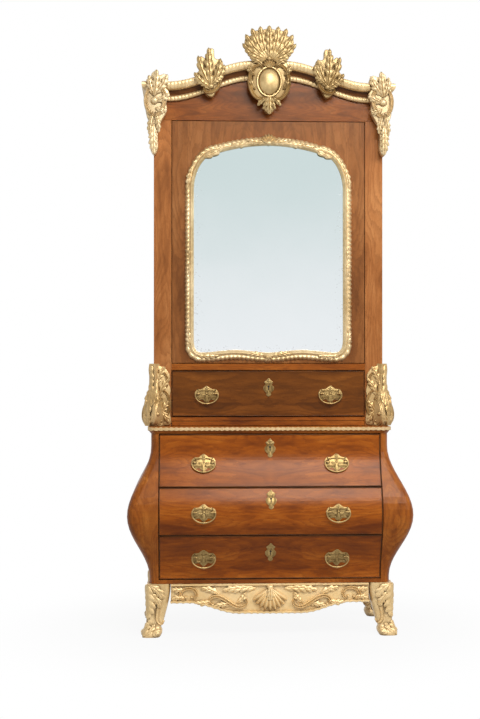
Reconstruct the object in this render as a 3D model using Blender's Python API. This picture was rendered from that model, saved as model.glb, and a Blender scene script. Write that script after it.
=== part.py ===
"""Rococo secretary cabinet: a bombe chest of drawers that carries a cupboard with a mirror door.

Metres, +Z up, front towards -Y. The origin lies on the floor, in the middle of the width and depth.
"""
import math

import bmesh
import bpy
from mathutils import Matrix, Vector

# Clearances
GAP = 0.0003                    # between pieces that touch
RUNNING = 0.0025                # around the drawers, the door and the slide
FRONT_GAP = 0.003               # between drawer fronts, and between a front and its rail

# Chest: plan and swell
CHEST_HALF_WIDTH = 0.465        # above the swell
CHEST_DEPTH = 0.4705            # back to the front above the swell
CHEST_CORNER_RADIUS = 0.030     # rounded front corners
CHEST_SIDE_BOARD = 0.030        # from the straight side to the flat inner face that guides the drawers
SWELL = 0.091                   # how far front and sides swell out at the belly
SWELL_FOOT = 0.006              # swell that is left below
SWELL_START = 0.740             # level where the swell starts
SWELL_PEAK = 0.475            # level of the belly
SWELL_END = 0.225               # level where the swell has run out

# Chest: boards and drawers
CASE_BOTTOM = 0.205             # underside of the case
CHEST_BOTTOM_BOARD = 0.015
CHEST_TOP_BOARD = 0.025
CHEST_TOP_OVERHANG = 0.010
BACK_BOARD = 0.014
DIVIDER_BOARD = 0.012
DRAWER_FRONT_HEIGHTS = {"lower": 0.175, "middle": 0.182, "upper": 0.201}
DRAWER_FRONT_BOARD = 0.024
DRAWER_SIDE_BOARD = 0.012
DRAWER_BOTTOM_BOARD = 0.008
DRAWER_REAR_SPACE = 0.030       # between a drawer's back and the case back
BOX_BELOW_FRONT = 0.012         # how far a box's top stays below its front's top

# Handles
PLATE_HALF_WIDTH = 0.048
PLATE_HALF_HEIGHT = 0.027
PLATE_THICKNESS = 0.002
HANDLE_FROM_END = 0.1725        # handle centre to the end of a chest drawer's front
UPPER_HANDLES_LOWERED = 0.006   # below the middle of the upper drawer's front
WAIST_HANDLE_FROM_END = 0.1375
POST_X = 0.0345                 # handle posts, either side of the handle's centre
POST_RADIUS = 0.005
POST_LENGTH = 0.017
PIVOT_STANDOFF = 0.012          # bail's axis ahead of the drawer front
BAIL_RADIUS = 0.0024
BAIL_HALF_WIDTH = 0.0455
BAIL_DROP = 0.040
BAIL_BEND = 0.006               # radius where the pin turns into the bail
BAIL_PIN_REACH = 0.008          # pin's end, inside its post's centre line
BAIL_BORE_CLEARANCE = 0.0006

# Feet and apron
FOOT_HALF_TOP = 0.046
FOOT_HALF_ANKLE = 0.031
FOOT_HALF_TOE = 0.034
FOOT_ANKLE_SHARE = 0.80         # how far down the foot is thinnest
FOOT_OUTSET = 0.016             # knee, out from the chest's straight front and sides
FOOT_SPLAY = 0.030              # toe, further out than the knee
FOOT_SPLAY_POWER = 2.6          # above 1 the foot turns out more towards its toe
BACK_FOOT_SPLAY = 0.012
APRON_BOARD = 0.024
APRON_HEIGHT = 0.080            # at its ends
APRON_DROP = 0.047              # further at the centre
APRON_LEVEL_HALF_WIDTH = 0.120  # deepest part
APRON_RISE_WIDTH = 0.200        # from the deepest part up to the ends

# Waist and cupboard
CABINET_INSET = 0.0085          # cupboard's sides, in from the chest's
CABINET_DEPTH = 0.360
CABINET_SIDE_BOARD = 0.018
PILASTER_WIDTH = 0.070
PILASTER_BOARD = 0.0245
SLIDE_BOARD = 0.017
SLIDE_REAR_SPACE = 0.0507       # between the slide's back and the case back
SLIDE_CLEARANCE = 0.0015
BASE_BOARD = 0.016
WAIST_FRONT_HEIGHT = 0.180
WAIST_FRONT_BOARD = 0.022
WAIST_FRONT_PROUD = 0.005       # ahead of the pilasters
WAIST_BOX_REAR_SPACE = 0.0084   # between the waist drawer's back and the case back
FLOOR_BOARD = 0.026
SHELF_BOARD = 0.018
SHELF_HEIGHT = 0.480            # above the cupboard floor
SHELF_SETBACK = 0.020           # behind the closed door
CUPBOARD_TOP_BOARD = 0.016

# Mirror door
DOOR_HEIGHT = 0.963
DOOR_BOARD = 0.028
GLASS_STILE = 0.086             # from the door's upright edges in to the glass
GLASS_BOTTOM = 0.038            # above the door's lower edge
GLASS_TOP_RAIL = 0.096          # from the glass's peak up to the door's top edge
GLASS_SHOULDER_HEIGHT = 0.150
GLASS_SHOULDER_WIDTH = 0.100
GLASS_PEAK = 0.030              # central rise above the shoulders
GLASS_BOTTOM_WAVE = 0.010
GLASS_CORNER_RADIUS = 0.030
GLASS_THICKNESS = 0.004
GLASS_SEAT = 0.006              # glass under the moulding, all round
MOULDING_WIDTH = 0.034
MOULDING_HEIGHT = 0.018
PIVOT_RADIUS = 0.0035
PIVOT_INSET = 0.014             # pivot to the door's hinge edge
PIVOT_SETBACK = 0.007           # pivot to the door's face
PIVOT_REACH = 0.012             # pivot into the door, and into the case
PIVOT_BORE_CLEARANCE = 0.0003

# Consoles, cornice and crest
CONSOLE_HALF_THICKNESS = 0.034
CONSOLE_REACH = 0.031           # lower scroll, outwards from the cabinet's corner
FRIEZE_END_HEIGHT = 0.074
ARCH_RISE = 0.085
ARCH_CROWN_HALF_WIDTH = 0.060
ARCH_HALF_WIDTH = 0.400
CORNICE_HEIGHT = 0.072
CORNICE_REACH = 0.045
CORNICE_BEARING = 0.020         # cornice back over the frieze
CARVING_DEPTH = 0.070           # crest carvings, ahead of the frieze
CARVING_ROUND = 0.004
CARVING_UNIT = 0.010            # the carvings' outlines are drawn in this unit
SPRAY_X = 0.235

# Colours, roughness and metallic
FINISHES = {
    "walnut": ((0.290, 0.115, 0.036), 0.35, 0.0),
    "dark_walnut": ((0.160, 0.066, 0.026), 0.40, 0.0),
    "pine": ((0.520, 0.340, 0.170), 0.65, 0.0),
    "gilt": ((0.720, 0.500, 0.220), 0.35, 0.85),
    "brass": ((0.690, 0.490, 0.190), 0.30, 1.0),
    "mirror": ((0.800, 0.840, 0.840), 0.04, 1.0),
    "leather": ((0.060, 0.110, 0.050), 0.60, 0.0),
}

# Axes that a flat outline's two coordinates and its thickness follow
PLANES = {
    "XY": Matrix(((1, 0, 0), (0, 1, 0), (0, 0, 1))),
    "XZ": Matrix(((1, 0, 0), (0, 0, -1), (0, 1, 0))),
    "YZ": Matrix(((0, 0, 1), (1, 0, 0), (0, 1, 0))),
}


def ease(share):
    """Runs from 0 to 1 with level ends, and stays level outside them."""
    share = min(max(share, 0.0), 1.0)
    return 0.5 - 0.5 * math.cos(math.pi * share)


def spread(low, high, steps):
    """Values from low to high in equal steps, both ends included."""
    return [low + (high - low) * step / steps for step in range(steps + 1)]


def swell(level):
    """How far the chest swells out at a level."""
    if level >= SWELL_PEAK:
        return SWELL * (1.0 - ease((level - SWELL_PEAK) / (SWELL_START - SWELL_PEAK)))
    fall = ease((SWELL_PEAK - level) / (SWELL_PEAK - SWELL_END))
    return SWELL + (SWELL_FOOT - SWELL) * fall


# Levels of the chest, from the floor up
FRONT_BOTTOMS = {}
level = CASE_BOTTOM + CHEST_BOTTOM_BOARD + FRONT_GAP
for tier, height in DRAWER_FRONT_HEIGHTS.items():
    FRONT_BOTTOMS[tier] = level
    level += height + FRONT_GAP
CHEST_TOP_UNDERSIDE = level
CHEST_TOP = CHEST_TOP_UNDERSIDE + CHEST_TOP_BOARD
HANDLE_LEVELS = {tier: FRONT_BOTTOMS[tier] + 0.5 * height for tier, height in DRAWER_FRONT_HEIGHTS.items()}
HANDLE_LEVELS["upper"] -= UPPER_HANDLES_LOWERED

# Levels of the waist and cupboard
SLIDE_BOTTOM = CHEST_TOP + SLIDE_CLEARANCE
BASE_BOTTOM = SLIDE_BOTTOM + SLIDE_BOARD + SLIDE_CLEARANCE
WAIST_FRONT_BOTTOM = BASE_BOTTOM + BASE_BOARD + FRONT_GAP
FLOOR_BOTTOM = WAIST_FRONT_BOTTOM + WAIST_FRONT_HEIGHT + FRONT_GAP
FLOOR_TOP = FLOOR_BOTTOM + FLOOR_BOARD
DOOR_BOTTOM = FLOOR_TOP + RUNNING
DOOR_TOP = DOOR_BOTTOM + DOOR_HEIGHT
FRIEZE_BOTTOM = DOOR_TOP + RUNNING
CORNICE_END = FRIEZE_BOTTOM + FRIEZE_END_HEIGHT

# Depths: the origin stays midway between the back and the foremost handle post
FRONT_REACH = swell(HANDLE_LEVELS["middle"] - POST_RADIUS) + POST_LENGTH
BACK_Y = 0.5 * (CHEST_DEPTH + FRONT_REACH)
CHEST_FRONT_Y = BACK_Y - CHEST_DEPTH
CABINET_FRONT_Y = BACK_Y - CABINET_DEPTH
INNER_BACK_Y = BACK_Y - BACK_BOARD - GAP
PILASTER_BACK_Y = CABINET_FRONT_Y + PILASTER_BOARD

# Widths of the openings
CHEST_SIDE_INNER = CHEST_HALF_WIDTH - CHEST_SIDE_BOARD
CHEST_BOARD_HALF = CHEST_SIDE_INNER - GAP
DRAWER_HALF_WIDTH = CHEST_SIDE_INNER - RUNNING
CABINET_HALF_WIDTH = CHEST_HALF_WIDTH - CABINET_INSET
CABINET_SIDE_INNER = CABINET_HALF_WIDTH - CABINET_SIDE_BOARD
CABINET_BOARD_HALF = CABINET_SIDE_INNER - GAP
OPENING_HALF = CABINET_HALF_WIDTH - PILASTER_WIDTH
DOOR_HALF_WIDTH = OPENING_HALF - RUNNING
GLASS_HALF_WIDTH = DOOR_HALF_WIDTH - GLASS_STILE
GLASS_SIDE_HEIGHT = DOOR_HEIGHT - GLASS_BOTTOM - GLASS_SHOULDER_HEIGHT - GLASS_PEAK - GLASS_TOP_RAIL


def front_surface(level):
    """Y of the chest's swelling front at a level."""
    return CHEST_FRONT_Y - swell(level)


def flat_surface(level):
    """Y of the waist drawer's plain front, the same at every level."""
    return CABINET_FRONT_Y - WAIST_FRONT_PROUD


def arch(x):
    """Level of the frieze's arched upper edge."""
    share = (abs(x) - ARCH_CROWN_HALF_WIDTH) / (ARCH_HALF_WIDTH - ARCH_CROWN_HALF_WIDTH)
    return CORNICE_END + ARCH_RISE * (1.0 - ease(share))


for old in list(bpy.data.objects):
    bpy.data.objects.remove(old, do_unlink=True)

PARTS = bpy.data.collections.new("secretary_cabinet")
CUTTERS = bpy.data.collections.new("cutters")
bpy.context.scene.collection.children.link(PARTS)
bpy.context.scene.collection.children.link(CUTTERS)


def make_finish(name):
    """A plain material from the table of finishes."""
    colour, roughness, metallic = FINISHES[name]
    finish = bpy.data.materials.new(name)
    finish.use_nodes = True
    shader = finish.node_tree.nodes["Principled BSDF"]
    shader.inputs["Base Color"].default_value = (*colour, 1.0)
    shader.inputs["Roughness"].default_value = roughness
    shader.inputs["Metallic"].default_value = metallic
    return finish


MATERIALS = {name: make_finish(name) for name in FINISHES}


def add_part(name, mesh, finish, smooth=False):
    """Puts a mesh into the cabinet under its node's name."""
    mesh.materials.clear()
    mesh.materials.append(MATERIALS[finish])
    if smooth:
        mesh.shade_smooth()
        mesh.set_sharp_from_angle(angle=math.radians(40))
    part = bpy.data.objects.new(name, mesh)
    PARTS.objects.link(part)
    return part


def add_cutter(name, mesh):
    """Keeps a mesh that only cuts other pieces."""
    cutter = bpy.data.objects.new(name, mesh)
    cutter.hide_render = True
    cutter.display_type = "WIRE"
    CUTTERS.objects.link(cutter)
    return cutter


def apply_boolean(part, cutter, operation="DIFFERENCE", solver="EXACT"):
    """Cuts a part with a cutter, or joins the cutter to it."""
    change = part.modifiers.new(operation.lower(), "BOOLEAN")
    change.operation = operation
    change.solver = solver
    change.object = cutter


def finish_mesh(build):
    """Turns a bmesh with outward faces into a mesh."""
    bmesh.ops.recalc_face_normals(build, faces=build.faces)
    mesh = bpy.data.meshes.new("shape")
    build.to_mesh(mesh)
    build.free()
    return mesh


def box(low, high):
    """A block between two corners."""
    low = Vector(low)
    high = Vector(high)
    build = bmesh.new()
    size = Matrix.Diagonal((*(high - low), 1.0))
    bmesh.ops.create_cube(build, size=1.0, matrix=Matrix.Translation(0.5 * (low + high)) @ size)
    return finish_mesh(build)


def rod(start, end, radius, sides=16):
    """A round bar between two points."""
    start = Vector(start)
    end = Vector(end)
    along = end - start
    turn = Vector((0, 0, 1)).rotation_difference(along).to_matrix().to_4x4()
    build = bmesh.new()
    bmesh.ops.create_cone(build, cap_ends=True, segments=sides, radius1=radius, radius2=radius,
                          depth=along.length, matrix=Matrix.Translation(0.5 * (start + end)) @ turn)
    return finish_mesh(build)


def curve_mesh(curve):
    """Takes a curve's surface as a welded mesh and removes the curve."""
    holder = bpy.data.objects.new("outline", curve)
    bpy.context.scene.collection.objects.link(holder)
    shape = holder.evaluated_get(bpy.context.evaluated_depsgraph_get())
    mesh = bpy.data.meshes.new_from_object(shape)
    build = bmesh.new()
    build.from_mesh(mesh)
    bmesh.ops.remove_doubles(build, verts=build.verts, dist=0.00001)
    bmesh.ops.dissolve_limit(build, angle_limit=math.radians(0.05), verts=build.verts, edges=build.edges)
    bpy.data.objects.remove(holder, do_unlink=True)
    return finish_mesh(build)


def slab(outline, plane, low, high, rounded=0.0, flowing=False):
    """A flat outline, straight or flowing, made solid between two depths along its plane's normal."""
    curve = bpy.data.curves.new("outline", "CURVE")
    curve.dimensions = "2D"
    curve.fill_mode = "BOTH"
    curve.resolution_u = 3
    curve.extrude = 0.5 * (high - low) - rounded
    curve.bevel_depth = rounded
    curve.bevel_resolution = 0
    curve.offset = -rounded
    spline = curve.splines.new("BEZIER" if flowing else "POLY")
    if flowing:
        spline.bezier_points.add(len(outline) - 1)
        for point, (u, v) in zip(spline.bezier_points, outline):
            point.co = (u, v, 0.0)
            point.handle_left_type = "AUTO"
            point.handle_right_type = "AUTO"
    else:
        spline.points.add(len(outline) - 1)
        for point, (u, v) in zip(spline.points, outline):
            point.co = (u, v, 0.0, 1.0)
    spline.use_cyclic_u = True
    mesh = curve_mesh(curve)
    turn = PLANES[plane]
    middle = 0.5 * (low + high)
    shift = turn @ Vector((0.0, 0.0, middle))
    if plane == "XZ":
        shift = -shift
    mesh.transform(Matrix.Translation(shift) @ turn.to_4x4())
    return mesh


def loft(rings, closed=False):
    """Skins a row of rings that have equal counts, with end caps unless the row is closed."""
    build = bmesh.new()
    rows = [[build.verts.new(point) for point in ring] for ring in rings]
    count = len(rings[0])
    pairs = list(zip(rows, rows[1:]))
    if closed:
        pairs.append((rows[-1], rows[0]))
    for lower, upper in pairs:
        for index in range(count):
            after = (index + 1) % count
            build.faces.new((lower[index], lower[after], upper[after], upper[index]))
    if not closed:
        build.faces.new(rows[0])
        build.faces.new(rows[-1])
    return finish_mesh(build)


def offset_outline(outline, distance):
    """Moves a counter-clockwise closed outline outwards by a distance."""
    moved = []
    count = len(outline)
    for index, (u, v) in enumerate(outline):
        before = Vector(outline[index - 1])
        after = Vector(outline[(index + 1) % count])
        along_in = (Vector((u, v)) - before).normalized()
        along_out = (after - Vector((u, v))).normalized()
        normal_in = Vector((along_in.y, -along_in.x))
        normal_out = Vector((along_out.y, -along_out.x))
        mitre = (normal_in + normal_out) / (1.0 + normal_in.dot(normal_out))
        moved.append((u + distance * mitre.x, v + distance * mitre.y))
    return moved


def mirrored(half):
    """Closes an outline whose right half runs up from a point on the centre line to another."""
    return half + [(-u, v) for u, v in reversed(half[1:-1])]


def flipped(outline):
    """The left-hand copy of a right-hand outline, still counter-clockwise."""
    return [(-u, v) for u, v in reversed(outline)]


def add_empty(name, location):
    """A frame that carries the pieces of one moving body."""
    frame = bpy.data.objects.new(name, None)
    frame.location = location
    frame.empty_display_size = 0.05
    PARTS.objects.link(frame)
    return frame


def attach(part, frame, pivot=None):
    """Puts a part's origin on its pivot and hangs the part on a body's frame."""
    pivot = frame.location if pivot is None else Vector(pivot)
    part.data.transform(Matrix.Translation(-pivot))
    part.parent = frame
    part.location = pivot - frame.location


# Chest case
def corner_arc(half_width, front, radius):
    """Plan points of a rounded front corner on the right, from its side round to its front."""
    return [(half_width - radius + radius * math.cos(angle), front + radius - radius * math.sin(angle))
            for angle in spread(0.0, 0.5 * math.pi, 4)]


def make_chest_sides():
    levels = spread(CASE_BOTTOM, CHEST_TOP_UNDERSIDE - GAP, 24)
    for name, sign in (("chest_left_side", -1), ("chest_right_side", 1)):
        rings = []
        for level in levels:
            half_width = CHEST_HALF_WIDTH + swell(level)
            front = front_surface(level)
            plan = [(CHEST_SIDE_INNER, BACK_Y), (half_width, BACK_Y)]
            plan += corner_arc(half_width, front, CHEST_CORNER_RADIUS)
            plan.append((CHEST_SIDE_INNER, front))
            rings.append([(sign * x, y, level) for x, y in plan])
        add_part(name, loft(rings), "walnut", smooth=True)


def make_chest_boards():
    """Back, bottom and the two dividers, all let in between the sides."""
    back = box((-CHEST_BOARD_HALF, BACK_Y - BACK_BOARD, CASE_BOTTOM),
               (CHEST_BOARD_HALF, BACK_Y, CHEST_TOP_UNDERSIDE - GAP))
    add_part("chest_back", back, "pine")
    bottom = box((-CHEST_BOARD_HALF, front_surface(CASE_BOTTOM), CASE_BOTTOM),
                 (CHEST_BOARD_HALF, INNER_BACK_Y, CASE_BOTTOM + CHEST_BOTTOM_BOARD))
    add_part("chest_bottom", bottom, "walnut")
    for name, tier in (("lower_divider", "middle"), ("upper_divider", "upper")):
        middle = FRONT_BOTTOMS[tier] - 0.5 * FRONT_GAP
        low = middle - 0.5 * DIVIDER_BOARD
        high = middle + 0.5 * DIVIDER_BOARD
        front = max(front_surface(low), front_surface(high)) + DRAWER_FRONT_BOARD + FRONT_GAP
        divider = box((-CHEST_BOARD_HALF, front, low), (CHEST_BOARD_HALF, INNER_BACK_Y, high))
        add_part(name, divider, "pine")


def make_chest_top():
    """Top board with an ogee edge on its front and sides."""
    rings = []
    for share, reach in ((0.0, 0.1), (0.25, 0.55), (0.5, 1.0), (0.85, 1.0), (1.0, 0.6)):
        overhang = CHEST_TOP_OVERHANG * reach
        level = CHEST_TOP_UNDERSIDE + share * CHEST_TOP_BOARD
        half_width = CHEST_HALF_WIDTH + overhang
        right = [(half_width, BACK_Y)]
        right += corner_arc(half_width, CHEST_FRONT_Y - overhang, CHEST_CORNER_RADIUS)
        left = [(-x, y) for x, y in reversed(right)]
        rings.append([(x, y, level) for x, y in right + left])
    add_part("chest_top", loft(rings), "walnut", smooth=True)


# Feet and apron
def make_foot(name, centre_x, centre_y, splay_x, splay_y):
    """A cabriole foot with a soft square section that turns outwards to its toe."""
    top = CASE_BOTTOM - GAP
    rings = []
    for share in spread(0.0, 1.0, 9):
        if share < FOOT_ANKLE_SHARE:
            blend = ease(share / FOOT_ANKLE_SHARE)
            half = FOOT_HALF_TOP + (FOOT_HALF_ANKLE - FOOT_HALF_TOP) * blend
        else:
            blend = ease((share - FOOT_ANKLE_SHARE) / (1.0 - FOOT_ANKLE_SHARE))
            half = FOOT_HALF_ANKLE + (FOOT_HALF_TOE - FOOT_HALF_ANKLE) * blend
        lean = share ** FOOT_SPLAY_POWER
        ring = []
        for angle in spread(0.0, 2.0 * math.pi, 12)[:-1]:
            reach = half * (1.0 + 0.16 * math.sin(2.0 * angle) ** 2)
            x = centre_x + splay_x * lean + reach * math.cos(angle)
            y = centre_y + splay_y * lean + reach * math.sin(angle)
            ring.append((x, y, top * (1.0 - share)))
        rings.append(ring)
    add_part(name, loft(rings), "gilt", smooth=True)


def make_feet():
    inset = FOOT_HALF_TOP - FOOT_OUTSET
    front_y = CHEST_FRONT_Y + inset
    back_y = BACK_Y - FOOT_HALF_TOE - BACK_FOOT_SPLAY
    for side, sign in (("left", -1), ("right", 1)):
        x = sign * (CHEST_HALF_WIDTH - inset)
        make_foot(f"front_{side}_foot", x, front_y, sign * FOOT_SPLAY, -FOOT_SPLAY)
        make_foot(f"back_{side}_foot", x, back_y, sign * FOOT_SPLAY, BACK_FOOT_SPLAY)


def make_apron():
    """Carved board under the front, deepest at its centre."""
    half_width = CHEST_HALF_WIDTH + FOOT_OUTSET - 2.0 * FOOT_HALF_TOP - 0.5 * RUNNING
    top = CASE_BOTTOM - GAP
    edge = []
    for x in spread(-half_width, half_width, 32):
        rise = ease((abs(x) - APRON_LEVEL_HALF_WIDTH) / APRON_RISE_WIDTH)
        edge.append((x, top - APRON_HEIGHT - APRON_DROP * (1.0 - rise)))
    outline = edge + [(half_width, top), (-half_width, top)]
    apron = slab(outline, "XZ", CHEST_FRONT_Y, CHEST_FRONT_Y + APRON_BOARD)
    add_part("front_apron", apron, "gilt")


# Handles
def plate_outline():
    """Lobed backplate, counter-clockwise from the foot of its centre line."""
    wide = PLATE_HALF_WIDTH
    high = PLATE_HALF_HEIGHT
    return mirrored([(0.0, -high), (0.35 * wide, -0.72 * high), (0.72 * wide, -0.86 * high),
                     (wide, -0.12 * high), (0.80 * wide, 0.52 * high), (0.42 * wide, 0.60 * high),
                     (0.0, high)])


def make_plate(name, x, level, surface):
    """Brass backplate bent to the drawer front, with two bored posts."""
    flat = slab(plate_outline(), "XZ", -GAP - PLATE_THICKNESS, -GAP, flowing=True)
    plate = bpy.data.objects.new("flat_plate", flat)
    bpy.context.scene.collection.objects.link(plate)
    post_root = -GAP - 0.5 * PLATE_THICKNESS
    for side in (-1, 1):
        post = rod((side * POST_X, post_root, 0.0), (side * POST_X, -POST_LENGTH, 0.0), POST_RADIUS, 10)
        apply_boolean(plate, add_cutter(f"{name}_post", post), "UNION")
    bpy.context.view_layer.update()
    shape = plate.evaluated_get(bpy.context.evaluated_depsgraph_get())
    joined = bpy.data.meshes.new_from_object(shape)
    bpy.data.objects.remove(plate, do_unlink=True)
    build = bmesh.new()
    build.from_mesh(joined)
    for cut in spread(-PLATE_HALF_HEIGHT, PLATE_HALF_HEIGHT, 6)[1:-1]:
        geometry = build.verts[:] + build.edges[:] + build.faces[:]
        bmesh.ops.bisect_plane(build, geom=geometry, plane_co=(0.0, 0.0, cut), plane_no=(0.0, 0.0, 1.0))
    bmesh.ops.remove_doubles(build, verts=build.verts, dist=0.00001)
    for vert in build.verts:
        vert.co = (vert.co.x + x, vert.co.y + surface(level + vert.co.z), level + vert.co.z)
    part = add_part(name, finish_mesh(build), "brass")
    axis_y = surface(level) - PIVOT_STANDOFF
    reach = POST_X + 2.0 * POST_RADIUS
    bore = rod((x - reach, axis_y, level), (x + reach, axis_y, level), BAIL_RADIUS + BAIL_BORE_CLEARANCE, 12)
    apply_boolean(part, add_cutter(f"{name}_bore", bore))
    return part


def bail_lean(level, surface):
    """Angle from hanging straight down at which a bail comes to rest on its drawer front."""
    keep = PIVOT_STANDOFF - PLATE_THICKNESS - BAIL_RADIUS - 4.0 * GAP
    advance = surface(level) - surface(level - BAIL_DROP)
    return math.asin(max(0.0, (advance - keep) / BAIL_DROP))


def make_bail(name, x, level, surface):
    """Swinging bail, one bent brass rod whose ends are its pins."""
    half = [(POST_X - BAIL_PIN_REACH, 0.0)]
    for angle in spread(0.0, 0.5 * math.pi, 2):
        half.append((BAIL_HALF_WIDTH - BAIL_BEND * (1.0 - math.sin(angle)),
                     -BAIL_BEND * (1.0 - math.cos(angle))))
    for angle in spread(0.0, 0.5 * math.pi, 6)[1:]:
        half.append((BAIL_HALF_WIDTH * math.cos(angle),
                     -BAIL_BEND - (BAIL_DROP - BAIL_BEND) * math.sin(angle)))
    route = half + [(-u, v) for u, v in reversed(half[:-1])]
    curve = bpy.data.curves.new("bail", "CURVE")
    curve.dimensions = "3D"
    curve.bevel_depth = BAIL_RADIUS
    curve.bevel_resolution = 1
    curve.use_fill_caps = True
    spline = curve.splines.new("POLY")
    spline.points.add(len(route) - 1)
    for point, (u, v) in zip(spline.points, route):
        point.co = (u, 0.0, v, 1.0)
    mesh = curve_mesh(curve)
    mesh.transform(Matrix.Rotation(-bail_lean(level, surface), 4, "X"))
    mesh.transform(Matrix.Translation((x, surface(level) - PIVOT_STANDOFF, level)))
    return add_part(name, mesh, "brass", smooth=True)


def make_handles(drawer, frame, handle_x, level, surface):
    for side, sign in (("left", -1), ("right", 1)):
        x = sign * handle_x
        pivot = (x, surface(level) - PIVOT_STANDOFF, level)
        attach(make_plate(f"{drawer}_{side}_plate", x, level, surface), frame)
        attach(make_bail(f"{drawer}_{side}_bail", x, level, surface), frame, pivot)


# Drawers
def hollow_box(name, block, low, high):
    """A drawer box: a block hollowed from above and from the front, with its walls left standing."""
    part = add_part(name, block, "pine")
    apply_boolean(part, add_cutter(f"{name}_hollow", box(low, high)))
    return part


def make_chest_drawers():
    rear = INNER_BACK_Y - DRAWER_REAR_SPACE
    half_width = DRAWER_HALF_WIDTH
    for tier, height in DRAWER_FRONT_HEIGHTS.items():
        bottom = FRONT_BOTTOMS[tier]
        top = bottom + height
        frame = add_empty(f"{tier}_drawer", (0.0, front_surface(HANDLE_LEVELS[tier]), HANDLE_LEVELS[tier]))
        face = [(front_surface(level), level) for level in spread(bottom, top, 18)]
        inside = [(y + DRAWER_FRONT_BOARD, level) for y, level in reversed(face)]
        front = slab(face + inside, "YZ", -half_width, half_width)
        attach(add_part(f"{tier}_drawer_front", front, "walnut"), frame)

        low = bottom + 0.5 * DIVIDER_BOARD
        high = top - BOX_BELOW_FRONT
        start = [(front_surface(level) + DRAWER_FRONT_BOARD + GAP, level) for level in spread(low, high, 14)]
        block = slab(start + [(rear, high), (rear, low)], "YZ", -half_width, half_width)
        inner = half_width - DRAWER_SIDE_BOARD
        hollow_low = (-inner, front_surface(SWELL_PEAK), low + DRAWER_BOTTOM_BOARD)
        hollow_high = (inner, rear - DRAWER_SIDE_BOARD, top)
        attach(hollow_box(f"{tier}_drawer_box", block, hollow_low, hollow_high), frame)
        handle_x = half_width - HANDLE_FROM_END
        make_handles(f"{tier}_drawer", frame, handle_x, HANDLE_LEVELS[tier], front_surface)


def make_waist_drawer():
    bottom = WAIST_FRONT_BOTTOM
    top = bottom + WAIST_FRONT_HEIGHT
    face_y = flat_surface(bottom)
    inside_y = face_y + WAIST_FRONT_BOARD
    level = 0.5 * (bottom + top)
    frame = add_empty("waist_drawer", (0.0, face_y, level))
    front = box((-DOOR_HALF_WIDTH, face_y, bottom), (DOOR_HALF_WIDTH, inside_y, top))
    attach(add_part("waist_drawer_front", front, "walnut"), frame)
    low = (-DOOR_HALF_WIDTH, inside_y + GAP, bottom)
    high = (DOOR_HALF_WIDTH, INNER_BACK_Y - WAIST_BOX_REAR_SPACE, top - BOX_BELOW_FRONT)
    inner = DOOR_HALF_WIDTH - DRAWER_SIDE_BOARD
    hollow_low = (-inner, face_y, bottom + DRAWER_BOTTOM_BOARD)
    hollow_high = (inner, high[1] - DRAWER_SIDE_BOARD, top)
    attach(hollow_box("waist_drawer_box", box(low, high), hollow_low, hollow_high), frame)
    make_handles("waist_drawer", frame, DOOR_HALF_WIDTH - WAIST_HANDLE_FROM_END, level, flat_surface)


def make_writing_slide():
    half_width = OPENING_HALF - RUNNING
    front_y = CABINET_FRONT_Y - WAIST_FRONT_PROUD
    frame = add_empty("writing_slide_frame", (0.0, front_y, SLIDE_BOTTOM))
    low = (-half_width, front_y, SLIDE_BOTTOM)
    high = (half_width, INNER_BACK_Y - SLIDE_REAR_SPACE, SLIDE_BOTTOM + SLIDE_BOARD)
    board = box(low, high)
    attach(add_part("writing_slide", board, "leather"), frame)


# Cupboard case
def make_cabinet_sides():
    foot = CHEST_TOP + GAP
    for side, sign in (("left", -1), ("right", 1)):
        across = sorted((sign * CABINET_SIDE_INNER, sign * CABINET_HALF_WIDTH))
        board = box((across[0], PILASTER_BACK_Y + GAP, foot), (across[1], BACK_Y, CORNICE_END - GAP))
        add_part(f"cabinet_{side}_side", board, "walnut")
        across = sorted((sign * OPENING_HALF, sign * CABINET_HALF_WIDTH))
        board = box((across[0], CABINET_FRONT_Y, foot), (across[1], PILASTER_BACK_Y, FRIEZE_BOTTOM - GAP))
        add_part(f"{side}_pilaster", board, "walnut")


def rail_board(bottom, thickness):
    """A board between the sides whose front edge comes forward between the pilasters."""
    wide = CABINET_BOARD_HALF
    narrow = OPENING_HALF - GAP
    shoulder = PILASTER_BACK_Y + GAP
    outline = [(-wide, INNER_BACK_Y), (-wide, shoulder), (-narrow, shoulder), (-narrow, CABINET_FRONT_Y),
               (narrow, CABINET_FRONT_Y), (narrow, shoulder), (wide, shoulder), (wide, INNER_BACK_Y)]
    return slab(outline, "XY", bottom, bottom + thickness)


def make_cabinet_boards():
    foot = CHEST_TOP + GAP
    wide = CABINET_BOARD_HALF
    back = box((-wide, BACK_Y - BACK_BOARD, foot), (wide, BACK_Y, CORNICE_END - GAP))
    add_part("cabinet_back", back, "pine")
    add_part("cabinet_base", rail_board(BASE_BOTTOM, BASE_BOARD), "walnut")
    floor = add_part("cabinet_floor", rail_board(FLOOR_BOTTOM, FLOOR_BOARD), "walnut")
    shelf_bottom = FLOOR_TOP + SHELF_HEIGHT
    shelf_front = CABINET_FRONT_Y + DOOR_BOARD + SHELF_SETBACK
    shelf = box((-wide, shelf_front, shelf_bottom), (wide, INNER_BACK_Y, shelf_bottom + SHELF_BOARD))
    add_part("shelf", shelf, "pine")
    top = box((-wide, PILASTER_BACK_Y + GAP, CORNICE_END - GAP - CUPBOARD_TOP_BOARD),
              (wide, INNER_BACK_Y, CORNICE_END - GAP))
    add_part("cabinet_top", top, "pine")
    return floor


# Frieze and cornice
ARCH_XS = spread(-CABINET_HALF_WIDTH, CABINET_HALF_WIDTH, 28)


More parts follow.
